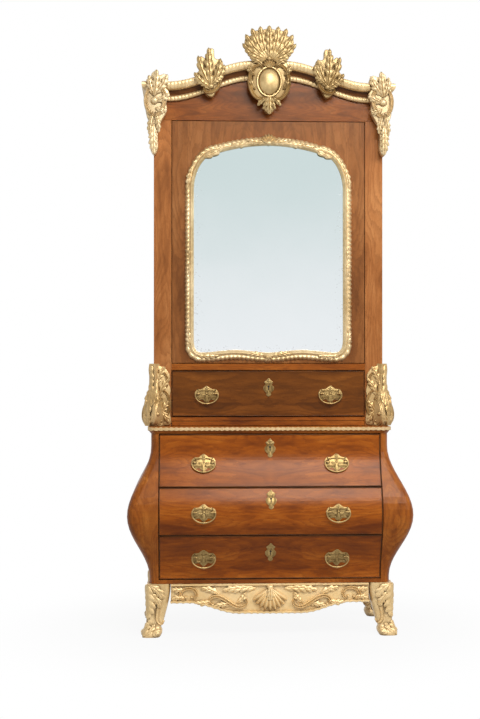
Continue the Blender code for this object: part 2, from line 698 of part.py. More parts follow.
def make_frieze():
    """Board over the door, with an arched upper edge."""
    upper = [(x, arch(x) - GAP) for x in reversed(ARCH_XS)]
    outline = [(-CABINET_HALF_WIDTH, FRIEZE_BOTTOM), (CABINET_HALF_WIDTH, FRIEZE_BOTTOM)] + upper
    return add_part("frieze", slab(outline, "XZ", CABINET_FRONT_Y, PILASTER_BACK_Y), "walnut")


def cornice_profile():
    """Section of the cornice, as reach ahead of the frieze and height above its edge."""
    reach = CORNICE_REACH
    height = CORNICE_HEIGHT
    cove = []
    for angle in spread(0.0, 0.5 * math.pi, 3):
        cove.append((reach * (0.85 - 0.60 * math.cos(angle)), height * (0.20 + 0.50 * math.sin(angle))))
    bead = [(reach, 0.78 * height), (reach, 0.94 * height), (0.88 * reach, height)]
    return [(-CORNICE_BEARING, 0.0), (0.15 * reach, 0.0)] + cove + bead + [(-CORNICE_BEARING, height)]


def sweep_cornice(profile):
    """Carries the section along both sides and over the arched front, with mitred corners."""
    stations = [((-CABINET_HALF_WIDTH, BACK_Y), (-1.0, 0.0))]
    for x in ARCH_XS:
        stations.append(((x, CABINET_FRONT_Y), (0.0, -1.0)))
    stations[1] = ((-CABINET_HALF_WIDTH, CABINET_FRONT_Y), (-1.0, -1.0))
    stations[-1] = ((CABINET_HALF_WIDTH, CABINET_FRONT_Y), (1.0, -1.0))
    stations.append(((CABINET_HALF_WIDTH, BACK_Y), (1.0, 0.0)))
    rings = []
    for (x, y), (out_x, out_y) in stations:
        rings.append([(x + out_x * reach, y + out_y * reach, arch(x) + height) for reach, height in profile])
    return loft(rings)


# Consoles and crest carvings
def make_consoles():
    """Scroll brackets set across the cabinet's front corners, standing on the chest.

    Each level gives its height, its reach and its half thickness, as shares of the whole.
    """
    foot = CHEST_TOP + GAP
    height = FLOOR_TOP - foot
    inward = -1.6 * CONSOLE_HALF_THICKNESS
    levels = [(0.0, 0.62, 0.92), (0.08, 0.92, 1.0), (0.20, 1.0, 1.0), (0.34, 0.86, 0.92), (0.48, 0.50, 0.72),
              (0.62, 0.24, 0.54), (0.78, 0.16, 0.46), (0.90, 0.30, 0.52), (1.0, 0.16, 0.44)]
    for side, sign in (("left", -1), ("right", 1)):
        rings = []
        for level, reach, thickness in levels:
            front = reach * CONSOLE_REACH
            half = thickness * CONSOLE_HALF_THICKNESS
            plan = [(inward, -half), (front, -half), (front, half), (inward, half)]
            rings.append([(out, across, level * height) for out, across in plan])
        mesh = loft(rings)
        turn = Matrix.Rotation(math.radians(-45 if sign > 0 else -135), 4, "Z")
        mesh.transform(Matrix.Translation((sign * CABINET_HALF_WIDTH, CABINET_FRONT_Y, foot)) @ turn)
        console = add_part(f"{side}_console", mesh, "gilt")
        corner = box((-CABINET_HALF_WIDTH - GAP, CABINET_FRONT_Y - GAP, 0.0),
                     (CABINET_HALF_WIDTH + GAP, BACK_Y, DOOR_TOP))
        apply_boolean(console, add_cutter(f"{side}_console_corner", corner))


def carving_outline(drawing, x, z):
    """A carving's outline in metres, drawn about a point of the front."""
    return [(x + CARVING_UNIT * u, z + CARVING_UNIT * v) for u, v in drawing]


def make_carving(name, outline, cornice_cutter):
    """A crest ornament with chamfered edges that laps over the cornice."""
    mesh = slab(outline, "XZ", CABINET_FRONT_Y - CARVING_DEPTH, CABINET_FRONT_Y - GAP, CARVING_ROUND, True)
    carving = add_part(name, mesh, "gilt")
    apply_boolean(carving, cornice_cutter)


def make_crest():
    profile = cornice_profile()
    add_part("cornice", sweep_cornice(profile), "dark_walnut", smooth=True)
    cutter = add_cutter("cornice_room", sweep_cornice(offset_outline(profile, 2.0 * GAP)))

    crown = arch(0.0) + CORNICE_HEIGHT
    tail = [(0.0, -21.5), (2.2, -20.0), (3.0, -16.5)]
    shell = [(5.8, -15.0), (7.6, -10.5), (7.2, -6.0), (8.4, -3.0), (7.0, 0.5), (4.2, 1.4)]
    plume = [(7.4, 2.6), (9.8, 5.6), (9.4, 9.0), (7.0, 10.2), (5.6, 12.2), (2.8, 12.6), (0.0, 13.8)]
    make_carving("crest_cartouche", mirrored(carving_outline(tail + shell + plume, 0.0, crown)), cutter)

    seat = arch(SPRAY_X) + CORNICE_HEIGHT
    outer_lobes = [(-1.0, -10.5), (2.6, -8.5), (2.6, -5.0), (5.6, -4.0), (6.2, -0.8),
                   (4.0, 0.8), (5.2, 4.0), (4.0, 6.6), (1.8, 5.6)]
    inner_lobes = [(1.0, 9.2), (-1.8, 9.4), (-2.2, 5.6), (-5.2, 5.0), (-5.8, 1.8),
                   (-3.8, 0.0), (-5.4, -3.0), (-3.6, -6.2)]
    right = carving_outline(outer_lobes + inner_lobes, SPRAY_X, seat)
    make_carving("right_crest_spray", right, cutter)
    make_carving("left_crest_spray", flipped(right), cutter)

    corner = CORNICE_END + CORNICE_HEIGHT
    outer_lobes = [(-0.4, -29.0), (1.2, -26.0), (1.6, -21.0), (1.2, -17.0), (3.6, -14.0), (4.8, -10.6),
                   (4.0, -8.0), (5.4, -5.2), (5.0, -1.8), (3.2, 0.2), (2.4, 3.2)]
    inner_lobes = [(-0.6, 4.6), (-2.0, 2.6), (-4.8, 3.4), (-6.0, 0.6), (-4.0, -1.8), (-5.2, -5.0),
                   (-3.8, -8.2), (-4.4, -11.6), (-3.0, -15.0), (-1.4, -18.0), (-1.0, -22.0), (-1.4, -26.0)]
    right = carving_outline(outer_lobes + inner_lobes, CABINET_HALF_WIDTH, corner)
    make_carving("right_corner_scroll", right, cutter)
    make_carving("left_corner_scroll", flipped(right), cutter)


# Mirror door
def glass_outline():
    """Shaped edge of the visible glass, counter-clockwise from the middle of its foot."""
    bottom = DOOR_BOTTOM + GLASS_BOTTOM
    corner = GLASS_CORNER_RADIUS
    inner = GLASS_HALF_WIDTH - corner
    half = []
    for x in spread(0.0, inner, 8):
        half.append((x, bottom + 0.5 * GLASS_BOTTOM_WAVE * (1.0 - math.cos(2.0 * math.pi * x / inner))))
    for angle in spread(-0.5 * math.pi, 0.0, 4)[1:]:
        half.append((inner + corner * math.cos(angle), bottom + corner + corner * math.sin(angle)))
    shoulder = bottom + GLASS_SIDE_HEIGHT
    inner = GLASS_HALF_WIDTH - GLASS_SHOULDER_WIDTH
    for angle in spread(0.0, 0.5 * math.pi, 7):
        half.append((inner + GLASS_SHOULDER_WIDTH * math.cos(angle),
                     shoulder + GLASS_SHOULDER_HEIGHT * math.sin(angle)))
    for x in spread(inner, 0.0, 8)[1:]:
        half.append((x, shoulder + GLASS_SHOULDER_HEIGHT + GLASS_PEAK * (1.0 - (x / inner) ** 2)))
    return mirrored(half)


def make_door(floor, frieze):
    pivot_x = -DOOR_HALF_WIDTH + PIVOT_INSET
    pivot_y = CABINET_FRONT_Y + PIVOT_SETBACK
    frame = add_empty("door_hinge", (pivot_x, pivot_y, DOOR_BOTTOM))
    panel = box((-DOOR_HALF_WIDTH, CABINET_FRONT_Y, DOOR_BOTTOM),
                (DOOR_HALF_WIDTH, CABINET_FRONT_Y + DOOR_BOARD, DOOR_TOP))
    panel = add_part("door_panel", panel, "walnut")
    attach(panel, frame)

    edge = glass_outline()
    seat_floor = CABINET_FRONT_Y + GLASS_THICKNESS + 2.0 * GAP
    recess = slab(offset_outline(edge, GLASS_SEAT + GAP), "XZ", CABINET_FRONT_Y - DOOR_BOARD, seat_floor)
    apply_boolean(panel, add_cutter("glass_recess", recess))
    glass = slab(offset_outline(edge, GLASS_SEAT), "XZ", seat_floor - GAP - GLASS_THICKNESS, seat_floor - GAP)
    attach(add_part("mirror_glass", glass, "mirror"), frame)

    section = [(0.0, 0.0), (0.0, 0.30), (0.12, 0.62), (0.30, 1.0),
               (0.52, 0.62), (0.72, 0.74), (0.92, 0.42), (1.0, 0.0)]
    rings = []
    for across, rise in section:
        y = CABINET_FRONT_Y - GAP - rise * MOULDING_HEIGHT
        rings.append([(x, y, z) for x, z in offset_outline(edge, across * MOULDING_WIDTH)])
    moulding = add_part("mirror_moulding", loft(rings, closed=True), "gilt", smooth=True)
    attach(moulding, frame)

    pivots = (("lower_door_pivot", DOOR_BOTTOM, floor), ("upper_door_pivot", DOOR_TOP, frieze))
    for name, level, holder in pivots:
        low = (pivot_x, pivot_y, level - PIVOT_REACH)
        high = (pivot_x, pivot_y, level + PIVOT_REACH)
        add_part(name, rod(low, high, PIVOT_RADIUS), "brass", smooth=True)
        low = (pivot_x, pivot_y, level - PIVOT_REACH - GAP)
        high = (pivot_x, pivot_y, level + PIVOT_REACH + GAP)
        bore = add_cutter(f"{name}_bore", rod(low, high, PIVOT_RADIUS + PIVOT_BORE_CLEARANCE))
        apply_boolean(panel, bore)
        apply_boolean(holder, bore, solver="MANIFOLD")


make_chest_sides()
make_chest_boards()
make_chest_top()
make_feet()
make_apron()
make_chest_drawers()
make_waist_drawer()
make_writing_slide()
make_cabinet_sides()
cupboard_floor = make_cabinet_boards()
door_frieze = make_frieze()
make_consoles()
make_crest()
make_door(cupboard_floor, door_frieze)
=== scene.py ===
import cmath
import math

import bmesh
import bpy
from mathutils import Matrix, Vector


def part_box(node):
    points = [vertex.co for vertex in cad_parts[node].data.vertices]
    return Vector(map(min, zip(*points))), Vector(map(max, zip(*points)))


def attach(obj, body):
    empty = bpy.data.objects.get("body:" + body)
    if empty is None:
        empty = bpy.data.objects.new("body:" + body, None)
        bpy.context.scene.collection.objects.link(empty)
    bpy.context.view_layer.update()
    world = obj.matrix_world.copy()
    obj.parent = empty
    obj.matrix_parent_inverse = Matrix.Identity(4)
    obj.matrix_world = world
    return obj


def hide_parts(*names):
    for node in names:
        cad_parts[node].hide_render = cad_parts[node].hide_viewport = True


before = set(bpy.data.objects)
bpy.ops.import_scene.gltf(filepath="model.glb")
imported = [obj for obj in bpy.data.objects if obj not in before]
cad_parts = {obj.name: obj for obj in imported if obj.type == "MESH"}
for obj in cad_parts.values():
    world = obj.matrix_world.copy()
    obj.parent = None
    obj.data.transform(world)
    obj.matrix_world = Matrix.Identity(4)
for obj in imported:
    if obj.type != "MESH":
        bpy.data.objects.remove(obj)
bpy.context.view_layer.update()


# Chest carcase: two swelling sides, a back, a bottom and two dividers.
# Pine boards are joined and glued up; the sides are veneered in figured walnut and polished with shellac.
class Tap:
    """One socket of a finish; sums and products of taps add Math nodes to that finish."""

    def __init__(self, tree, socket=None):
        self.tree = tree
        self.socket = socket

    def node(self, kind, settings=(), sockets=(), output=0):
        """Adds a node: its kind, its settings, then the values and links of its sockets."""
        made = self.tree.nodes.new(kind)
        for name, value in dict(settings).items():
            if name == "stops":
                ramp = made.color_ramp.elements
                for place, colour in value:
                    ramp.new(place).color = (*colour, 1)
                ramp.remove(ramp[0])
                ramp.remove(ramp[len(ramp) - 1])
            else:
                setattr(made, name, value)
        for name, value in dict(sockets).items():
            socket = next(entry for entry in made.inputs if entry.identifier == name)
            if isinstance(value, Tap):
                self.tree.links.new(value.socket, socket)
            else:
                socket.default_value = (*value, 1) if socket.type == "RGBA" else value
        return Tap(self.tree, made.outputs[output])

    def maths(self, operation, *others):
        """A Math node on this value and the others."""
        terms = dict(zip(("Value", "Value_001", "Value_002"), (self, *others)))
        return self.node("ShaderNodeMath", {"operation": operation}, terms)

    def __add__(self, other):
        return self.maths("ADD", other)

    def __sub__(self, other):
        return self.maths("SUBTRACT", other)

    def __rsub__(self, other):
        return self.maths("MULTIPLY_ADD", -1, other)

    def __mul__(self, other):
        return self.maths("MULTIPLY", other)

    def __truediv__(self, other):
        return self.maths("DIVIDE", other)

    def __abs__(self):
        return self.maths("ABSOLUTE")

    __radd__ = __add__
    __rmul__ = __mul__

    def limit(self, low, high):
        """Runs from 0 at low to 1 at high, and stays level outside them."""
        return self.node("ShaderNodeMapRange", {"interpolation_type": "SMOOTHSTEP"},
                         {"Value": self, "From Min": low, "From Max": high})

    def blend(self, first, second):
        """The first colour where this is 0, the second where it is 1."""
        return self.node("ShaderNodeMix", {"data_type": "RGBA"},
                         {"Factor_Float": self, "A_Color": first, "B_Color": second}, 2)

    def ramp(self, *stops):
        """A colour that runs through the stops as this value rises."""
        return self.node("ShaderNodeValToRGB", {"stops": stops}, {"Fac": self})


def new_finish(name, **plain):
    """A finish with its shader's plain values set; returns it, its sockets and a tap on its place."""
    finish = bpy.data.materials.new(name)
    finish.use_nodes = True
    shader = finish.node_tree.nodes["Principled BSDF"]
    for socket, value in plain.items():
        shader.inputs[socket.replace("_", " ")].default_value = value
    place = Tap(finish.node_tree).node("ShaderNodeTexCoord", output="Object")
    return finish, shader.inputs, place


def feed(socket, tap):
    tap.tree.links.new(tap.socket, socket)


def split(place):
    """The three coordinates of a place, each on its own tap."""
    return [place.node("ShaderNodeSeparateXYZ", sockets={"Vector": place}, output=axis) for axis in "XYZ"]


def joined(place, x, y, z):
    return place.node("ShaderNodeCombineXYZ", sockets={"X": x, "Y": y, "Z": z})


def stretched(place, scale):
    """A place scaled by its own factor along each axis."""
    return place.node("ShaderNodeVectorMath", {"operation": "MULTIPLY"},
                      {"Vector": place, "Vector_001": scale})


def noise(place, scale, detail=3, roughness=0.5, distortion=0):
    return place.node("ShaderNodeTexNoise", sockets={"Vector": place, "Scale": scale, "Detail": detail,
                                                     "Roughness": roughness, "Distortion": distortion})


def worn_edge(place, radius):
    """How near a sharp edge a point is, from 0 to 1, and the surface's direction with that edge rounded."""
    rounded = place.node("ShaderNodeBevel", {"samples": 4}, {"Radius": radius})
    facing = place.node("ShaderNodeNewGeometry", output="Normal")
    agree = place.node("ShaderNodeVectorMath", {"operation": "DOT_PRODUCT"},
                       {"Vector": rounded, "Vector_001": facing}, "Value")
    return (1 - agree).limit(0.01, 0.20), rounded


def coat(sockets, colour, roughness, height, strength, distance, rounded=None):
    """Gives a finish its colour and roughness, and raises it by a height, over rounded edges if given."""
    feed(sockets["Base Color"], colour)
    feed(sockets["Roughness"], roughness)
    values = {"Strength": strength, "Distance": distance, "Height": height}
    if rounded:
        values["Normal"] = rounded
    feed(sockets["Normal"], height.node("ShaderNodeBump", sockets=values))


SHELLAC = {"Coat_Weight": 0.16, "Coat_Roughness": 0.22, "Specular_IOR_Level": 0.16,
           "Specular_Tint": (1, 0.70, 0.42, 1)}


def veneer(name, tones, grain, matched=False, gloss=0.30):
    """Polished walnut in three tones; the grain says how tightly its figure is drawn along x, y and z."""
    dark, middle, light = tones
    finish, sockets, place = new_finish(name, **SHELLAC)
    x, y, z = split(place)
    leaf = joined(place, abs(x) if matched else x, y, z)
    drawn = stretched(leaf, grain)
    drift = noise(leaf, 3.2, 2)
    cloud = noise(drawn, 1, 4, 0.55, 0.6)
    stripe = noise(drawn, 3.2, 3, 0.6, 1.2)
    fibre = noise(drawn, 19, 2, 0.6)
    pores = noise(drawn, 70, 1).limit(0.56, 0.70)
    years = (noise(drawn, 0.9, 1, 0.4, 0.5) + drift * 0.25 + stripe * 0.05 + fibre * 0.03) * 20
    late_wood = years.maths("FRACT").limit(0.30, 1)
    figure = cloud * 0.55 + stripe * 0.35 + drift * 0.25 - 0.06
    colour = figure.ramp((0.37, dark), (0.51, middle), (0.67, light))
    colour = ((fibre.limit(0.58, 0.76) + pores) * 0.30 + late_wood * 0.36).blend(colour, dark)
    edge, rounded = worn_edge(place, 0.003)
    rubbed = edge * noise(place, 26, 4).limit(0.42, 0.62)
    roughness = gloss + 0.10 * fibre + 0.08 * drift + 0.15 * rubbed
    height = fibre * 0.4 + stripe * 0.3 - pores * 0.3
    coat(sockets, (rubbed * 0.5).blend(colour, light), roughness, height, 0.10, 0.0006, rounded)
    return finish


def pine(name, grain, plank=0, cross=None):
    """Plain grimy pine, in planks of a width along x; cross is the grain of the boards that face along y."""
    finish, sockets, place = new_finish(name, Specular_IOR_Level=0.3)
    board = place
    if plank:
        x, y, z = split(place)
        across = x / plank
        board = joined(place, x, y, z + across.maths("FLOOR") * 1.7)
    drawn = stretched(board, grain)
    if cross:
        facing = abs(split(place.node("ShaderNodeNewGeometry", output="True Normal"))[1])
        drawn = place.node("ShaderNodeMix", {"data_type": "VECTOR"},
                           {"Factor_Float": facing.limit(0.5, 0.7), "A_Vector": drawn,
                            "B_Vector": stretched(place, cross)}, 1)
    cloud = noise(drawn, 1, 3, 0.55, 0.4)
    fibre = noise(drawn, 5, 2)
    years = (noise(drawn, 0.8, 1, 0.4, 0.4) + fibre * 0.05) * 19
    late_wood = years.maths("FRACT").limit(0.25, 1)
    tone = cloud * 0.7 + fibre * 0.30 - late_wood * 0.15 + 0.055
    colour = tone.ramp((0.32, (0.23, 0.11, 0.04)), (0.52, (0.42, 0.23, 0.09)), (0.72, (0.56, 0.34, 0.15)))
    grime = noise(place, 4, 4).limit(0.50, 0.80)
    colour = (grime * 0.45).blend(colour, (0.15, 0.085, 0.040))
    edge, rounded = worn_edge(place, 0.002)
    colour = (edge * 0.4).blend(colour, (0.20, 0.115, 0.055))
    height = fibre * 0.5
    if plank:
        gap = abs(across.maths("FRACT") - 0.5).limit(0.486, 0.495)
        colour = gap.blend(colour, (0.025, 0.014, 0.008))
        height = height - 2 * gap
    coat(sockets, colour, 0.55 + 0.25 * fibre, height, 0.35, 0.001, rounded)
    return finish


def dress(finish, *names):
    """Gives CAD nodes a finish."""
    for name in names:
        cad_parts[name].material_slots[0].material = finish


ALONG_X = (2.2, 9, 9)
ALONG_Z = (9, 9, 2.2)
PLANK_WIDTH = 0.151
SIDE_TONES = ((0.120, 0.026, 0.003), (0.300, 0.078, 0.008), (0.460, 0.150, 0.022))
side_veneer = veneer("chest_side_veneer", SIDE_TONES, ALONG_Z)
case_walnut = veneer("case_walnut", SIDE_TONES, ALONG_X)
back_pine = pine("back_pine", (12, 12, 1.1), plank=PLANK_WIDTH)
board_pine = pine("board_pine", (1.1, 12, 12))
dress(side_veneer, "chest_left_side", "chest_right_side")
dress(back_pine, "chest_back", "cabinet_back")
dress(board_pine, "lower_divider", "upper_divider")
dress(case_walnut, "chest_bottom")


# Feet: four beech feet that splay to the corners, with a leaf on each knee and a rolled toe.
# They are carved in the round, dowelled into the case bottom, coated with gesso and red bole, and gilded.
# Here and below, worked pieces and their places are in millimetres, and carve turns them into metres.
MM = 0.001
SIDES = (("left", -1), ("right", 1))


def node_box(node):
    """A CAD node's lowest and highest corners, in millimetres."""
    return [[value / MM for value in corner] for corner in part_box(node)]


def arc(centre, radii, start, end, steps):
    """Points along part of an oval, from one angle to another in degrees."""
    angles = [math.radians(start + (end - start) * step / steps) for step in range(steps + 1)]
    return [(centre[0] + radii[0] * math.cos(angle), centre[1] + radii[1] * math.sin(angle))
            for angle in angles]


def headings(path, closed=False):
    """The direction of a path of complex points at each of them."""
    around = [path[-1], *path, path[0]] if closed else [path[0], *path, path[-1]]
    steps = [after - before for before, after in zip(around, around[2:])]
    return [step / abs(step) for step in steps]


class Carving:
    """Carved work laid out on a ground: u runs across it, v runs up it, and n stands off it."""

    def __init__(self):
        self.points = []
        self.faces = []

    def skin(self, rings, closed=False):
        """Joins rings of points into one closed body; a closed run of rings joins up with itself."""
        start = len(self.points)
        rows = len(rings)
        count = len(rings[0])
        for ring in rings:
            self.points.extend(ring)
        for row in range(rows if closed else rows - 1):
            near = start + row * count
            far = start + (row + 1) % rows * count
            for column in range(count):
                after = (column + 1) % count
                self.faces.append((near + column, near + after, far + after, far + column))
        if not closed:
            self.faces.append(tuple(range(start + count - 1, start - 1, -1)))
            self.faces.append(tuple(range(start + (rows - 1) * count, start + rows * count)))

    def sweep(self, path, sections, closed=False, ways=None):
        """Carries sections along a path: their points lie so far left of it and so far off the ground."""
        rings = []
        for point, way, section in zip(path, ways or headings(path, closed), sections):
            placed = [(point + 1j * way * left, n) for left, n in section]
            rings.append([(place.real, place.imag, n) for place, n in placed])
        self.skin(rings, closed)

    def leaf(self, root, tip, width, lift, bow=0, lobes=3, curl=0, base=0):
        """An acanthus leaf, bowed to one side, with a sunk midrib, lobed edges and a tip that curls up."""
        root, tip = complex(*root), complex(*tip)
        elbow = 0.5 * (root + tip) + 1j * bow * (tip - root)
        path, ways, sections = [], [], []
        for step in range(8 * lobes + 1):
            s = step / (8 * lobes)
            path.append((1 - s) ** 2 * root + 2 * s * (1 - s) * elbow + s * s * tip)
            way = (1 - s) * (elbow - root) + s * (tip - elbow)
            ways.append(way / abs(way))
            share = lobes * s % 1
            notch = math.sin(0.5 * math.pi * min(share / 0.6, (1 - share) / 0.4))
            flute = math.cos(math.tau * (share - 0.6))
            taper = abs(math.sin(math.pi * (0.14 + 0.86 * s))) ** 0.8
            half = width * (0.03 + 0.97 * (0.66 + 0.34 * notch) * taper)
            height = lift * math.sin(math.pi * (0.15 + 0.75 * s)) ** 0.8
            level = base + curl * s ** 3
            section = []
            for t in (-1, -0.84, -0.64, -0.42, -0.20, 0, 0.20, 0.42, 0.64, 0.84, 1):
                side = abs(t)
                midrib = 0.34 * math.exp(-(t / 0.14) ** 2)
                crown = 1 - 0.62 * side ** 1.8 - midrib + 0.13 * side ** 1.5 * flute
                section.append((half * (t - 0.85j * side ** 1.4), level + height * crown))
            section += [(half * t, level - 0.25 * lift) for t in (0.6, 0, -0.6)]
            sections.append(section)
        self.sweep(path, sections, ways=ways)

    def leaves(self, *rows):
        """A run of leaves, each row given as leaf takes it."""
        for row in rows:
            self.leaf(*row)

    def turned(self, centre, profile, columns=14):
        """A turned body: its profile gives the reach across, the reach up and the height off the ground."""
        self.skin([[(u, v, n) for u, v in arc(centre, (wide, tall), 0, 360, columns)[1:]]
                   for wide, tall, n in profile])

    def boss(self, centre, radii, height, base=0, columns=14):
        """A domed boss, round or oval."""
        dome = ((1, -0.3), (1, 0), (0.94, 0.34), (0.77, 0.64), (0.50, 0.87), (0.17, 0.985))
        profile = [(radii[0] * reach, radii[1] * reach, base + height * rise) for reach, rise in dome]
        self.turned(centre, profile, columns)

    def scroll(self, start, end, curls, bend, width, height, base=0, tight=0.13):
        """A moulded scroll with a raised rim on each side; its ends curl up over a share tight of its run."""
        count = 60
        turn, path = 0, [0j]
        for step in range(count):
            s = (step + 0.5) / count
            curl = curls[0] * math.exp(-s / tight) + curls[1] * math.exp((s - 1) / tight)
            turn += (bend + curl / tight) / count
            path.append(path[-1] + cmath.exp(1j * turn) / count)
        near, far = path[count // 4], path[3 * count // 4]
        start, end = complex(*start), complex(*end)
        path = [start + (point - near) * (end - start) / (far - near) for point in path]
        rim = ((-1, -0.25), (-1, 0.35), (-0.82, 0.85), (-0.62, 1), (-0.40, 0.62), (0, 0.45),
               (0.40, 0.62), (0.62, 1), (0.82, 0.85), (1, 0.35), (1, -0.25))
        sections = []
        for step in range(count + 1):
            swelling = abs(math.sin(math.pi * step / count)) ** 0.7
            wide, tall = width * (0.45 + 0.55 * swelling), height * (0.6 + 0.4 * swelling)
            sections.append([(wide * t, base + tall * rise) for t, rise in rim])
        self.sweep(path, sections)
        for eye in (path[0], path[-1]):
            self.boss((eye.real, eye.imag), (0.75 * width, 0.75 * width), 0.95 * height, base)

    def shell(self, hinge, radius, spread, ribs, height, turn=0, base=0):
        """A scallop fanned out by spread degrees to each side of its hinge; it opens upwards at turn 0."""
        profile = ((0.06, 0.55), (0.25, 0.80), (0.50, 0.95), (0.72, 1), (0.88, 0.85), (0.97, 0.50), (1, 0.15),
                   (1, -0.30), (0.06, -0.30))
        rings = []
        for step in range(6 * ribs + 1):
            share = step / (6 * ribs)
            angle = math.radians(90 + turn + spread * (1 - 2 * share))
            crest = -math.cos(math.tau * ribs * share)
            edge = radius * (0.94 + 0.06 * crest) * (1 - 0.12 * (2 * share - 1) ** 2)
            ring = []
            for reach, rise in profile:
                ridge = 1 + 0.30 * crest * reach if rise > 0 else 1
                ring.append((hinge[0] + edge * reach * math.cos(angle),
                             hinge[1] + edge * reach * math.sin(angle), base + height * rise * ridge))
            rings.append(ring)
        self.skin(rings)

    def band(self, path, section, closed=False, beat=0):
        """A moulding of one section along a path; a beat makes it swell and sink like a run of beads."""
        swells = [1 + beat * math.cos(0.25 * math.pi * index) for index in range(len(path))]
        sections = [[(left * swell, n * swell) for left, n in section] for swell in swells]
        self.sweep([complex(*point) for point in path], sections, closed)

    def blank(self, outline, back, front, edge, behind=0):
        """The ground of a carving: an anticlockwise outline from back to front, its arrises rounded."""
        outline = [complex(*point) for point in outline]
        inwards = [1j * way for way in headings(outline, closed=True)]
        levels = [(0, back), (0, front - edge), (0.3 * edge, front - 0.3 * edge), (edge, front)]
        if behind:
            levels[:1] = [(behind, back), (0.3 * behind, back + 0.5 * behind), (0, back + 1.6 * behind)]
        rings = []
        for inset, n in levels:
            inner = [point + inset * way for point, way in zip(outline, inwards)]
            rings.append([(point.real, point.imag, n) for point in inner])
        self.skin(rings)

    def mirror(self):
        """Adds the same work again on the other side of u = 0."""
        shift = len(self.points)
        self.points += [(-u, v, n) for u, v, n in self.points]
        self.faces += [tuple(shift + index for index in reversed(face)) for face in self.faces]


def carve(name, work, place, body, slot, finish, *replaced):
    """Makes a piece of worked stuff where place puts it, and hangs it on its body."""
    mesh = bpy.data.meshes.new(name)
    mesh.from_pydata([Vector(place(*point)) * MM for point in work.points], [], work.faces)
    shape = bmesh.new()
    shape.from_mesh(mesh)
    bmesh.ops.recalc_face_normals(shape, faces=shape.faces)
    shape.to_mesh(mesh)
    shape.free()
    mesh.shade_smooth()
    mesh.set_sharp_from_angle(angle=math.radians(55))
    mesh.materials.append(finish)
    piece = bpy.data.objects.new(name, mesh)
    bpy.context.scene.collection.objects.link(piece)
    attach(piece, body)
    if replaced:
        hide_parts(*replaced)


def gilding(name, deep, bright, metal=0.55, dirt_and_shade=0.75):
    """Gold leaf over red bole, darkened in its hollows by dirt and by painted shade, and rubbed on its edges;
    matt leaf has less metal.
    """
    finish, sockets, place = new_finish(name, Metallic=metal)
    rub = noise(place, 60, 4, 0.6)
    broad = noise(place, 9)
    clear = place.node("ShaderNodeAmbientOcclusion", {"samples": 6}, {"Distance": 0.030}, "AO")
    hollow = 1 - clear.limit(0.15, 0.75)
    raised = place.node("ShaderNodeNewGeometry", output="Pointiness").limit(0.52, 0.62)
    bole = raised * rub.limit(0.48, 0.62) * broad.limit(0.40, 0.65)
    colour = (broad * 0.6 + rub * 0.4).limit(0.35, 0.65).blend(deep, bright)
    colour = (bole * 0.45).blend(colour, (0.260, 0.070, 0.024))
    # Painted shade: hollows found by ambient occlusion are darkened towards dark umber, for shade as well as
    # dirt.
    colour = (hollow * dirt_and_shade).blend(colour, (0.130, 0.058, 0.014))
    coat(sockets, colour, 0.26 + 0.20 * rub + 0.25 * hollow, rub * 0.6 + broad, 0.18, 0.0012)
    return finish


def ease(share):
    """Rises smoothly from 0 to 1."""
    return 0.5 - 0.5 * math.cos(math.pi * min(max(share, 0), 1))


KNEE_HALF = 46
ANKLE_HALF = 31
TOE_HALF = 34
ANKLE = 0.80
FOOT_SPLAY = 30
BACK_FOOT_SPLAY = 12
(_, toe_front, _), (toe_right, _, FOOT_TOP) = node_box("front_right_foot")
FOOT_CENTRE_X = toe_right - TOE_HALF - FOOT_SPLAY
FRONT_FOOT_Y = toe_front + TOE_HALF + FOOT_SPLAY
BACK_Y = node_box("chest_back")[1][1]
BACK_FOOT_Y = BACK_Y - KNEE_HALF
WALL_GAP = 0.5
TOE_ROLL = 34
TOE_GROOVE = 40
FOOT_LEVELS = 48
FOOT_COLUMNS = 64
foot_gilt = gilding("foot_gilding", (0.64, 0.430, 0.185), (0.87, 0.640, 0.330), metal=0.30)


def foot_half(share):
    """Half width of a foot, from its top at 0 to the floor at 1."""
    if share < ANKLE:
        return KNEE_HALF - (KNEE_HALF - ANKLE_HALF) * ease(share / ANKLE)
    return ANKLE_HALF + (TOE_HALF - ANKLE_HALF) * ease((share - ANKLE) / (1 - ANKLE))


def foot_ground(sign, centre_y, splay_y, face):
    """Puts work on a foot: u runs round it from its carved face, v is the height above the floor."""
    def place(u, v, n):
        share = 1 - v / FOOT_TOP
        angle = face + u / foot_half(share)
        reach = foot_half(share) * (1 + 0.16 * math.sin(2 * angle) ** 2) + n
        lean = max(share, 0) ** 2.6
        x = sign * (FOOT_CENTRE_X + FOOT_SPLAY * lean) + reach * math.cos(angle)
        y = centre_y + splay_y * lean + reach * math.sin(angle)
        return (x, min(y, BACK_Y - WALL_GAP), v)
    return place


def foot_work():
    work = Carving()
    work.scroll((40, 158), (30, 70), (-4, 3), 0.5, 7.5, 8, -2)
    work.leaves(
        ((6, 200), (47, 148), 17, 8, 0.22, 3, 4, 2),
        ((4, 172), (36, 112), 14, 8, 0.20, 3, 4, 1),
        ((3, 8), (22, 50), 10, 6, -0.2, 3, 3, 2),
    )
    work.boss((40, 18), (15, 15), 7, 3, 20)
    work.boss((40, 18), (7, 7), 5, 9)
    work.mirror()
    rings = []
    for level in range(FOOT_LEVELS + 1):
        v = FOOT_TOP * level / FOOT_LEVELS
        half = foot_half(1 - v / FOOT_TOP)
        toe = 5 * math.sin(math.pi * min(v / TOE_ROLL, 1)) - 4 * math.exp(-((v - TOE_GROOVE) / 9) ** 2)
        ring = []
        for column in range(FOOT_COLUMNS):
            angle = math.tau * column / FOOT_COLUMNS - math.pi
            ridge = 4 * math.exp(-(angle / 0.22) ** 2) - 4 * math.exp(-((abs(angle) - 0.62) / 0.30) ** 2)
            ring.append((angle * half, v, toe + ridge * ease(v / 60)))
        rings.append(ring)
    work.skin(rings)
    work.leaf((0, 202), (0, 70), 24, 11, 0, 5, 5, 3)
    work.leaf((0, 4), (0, 58), 13, 8, 0, 3, 5, 2)
    return work


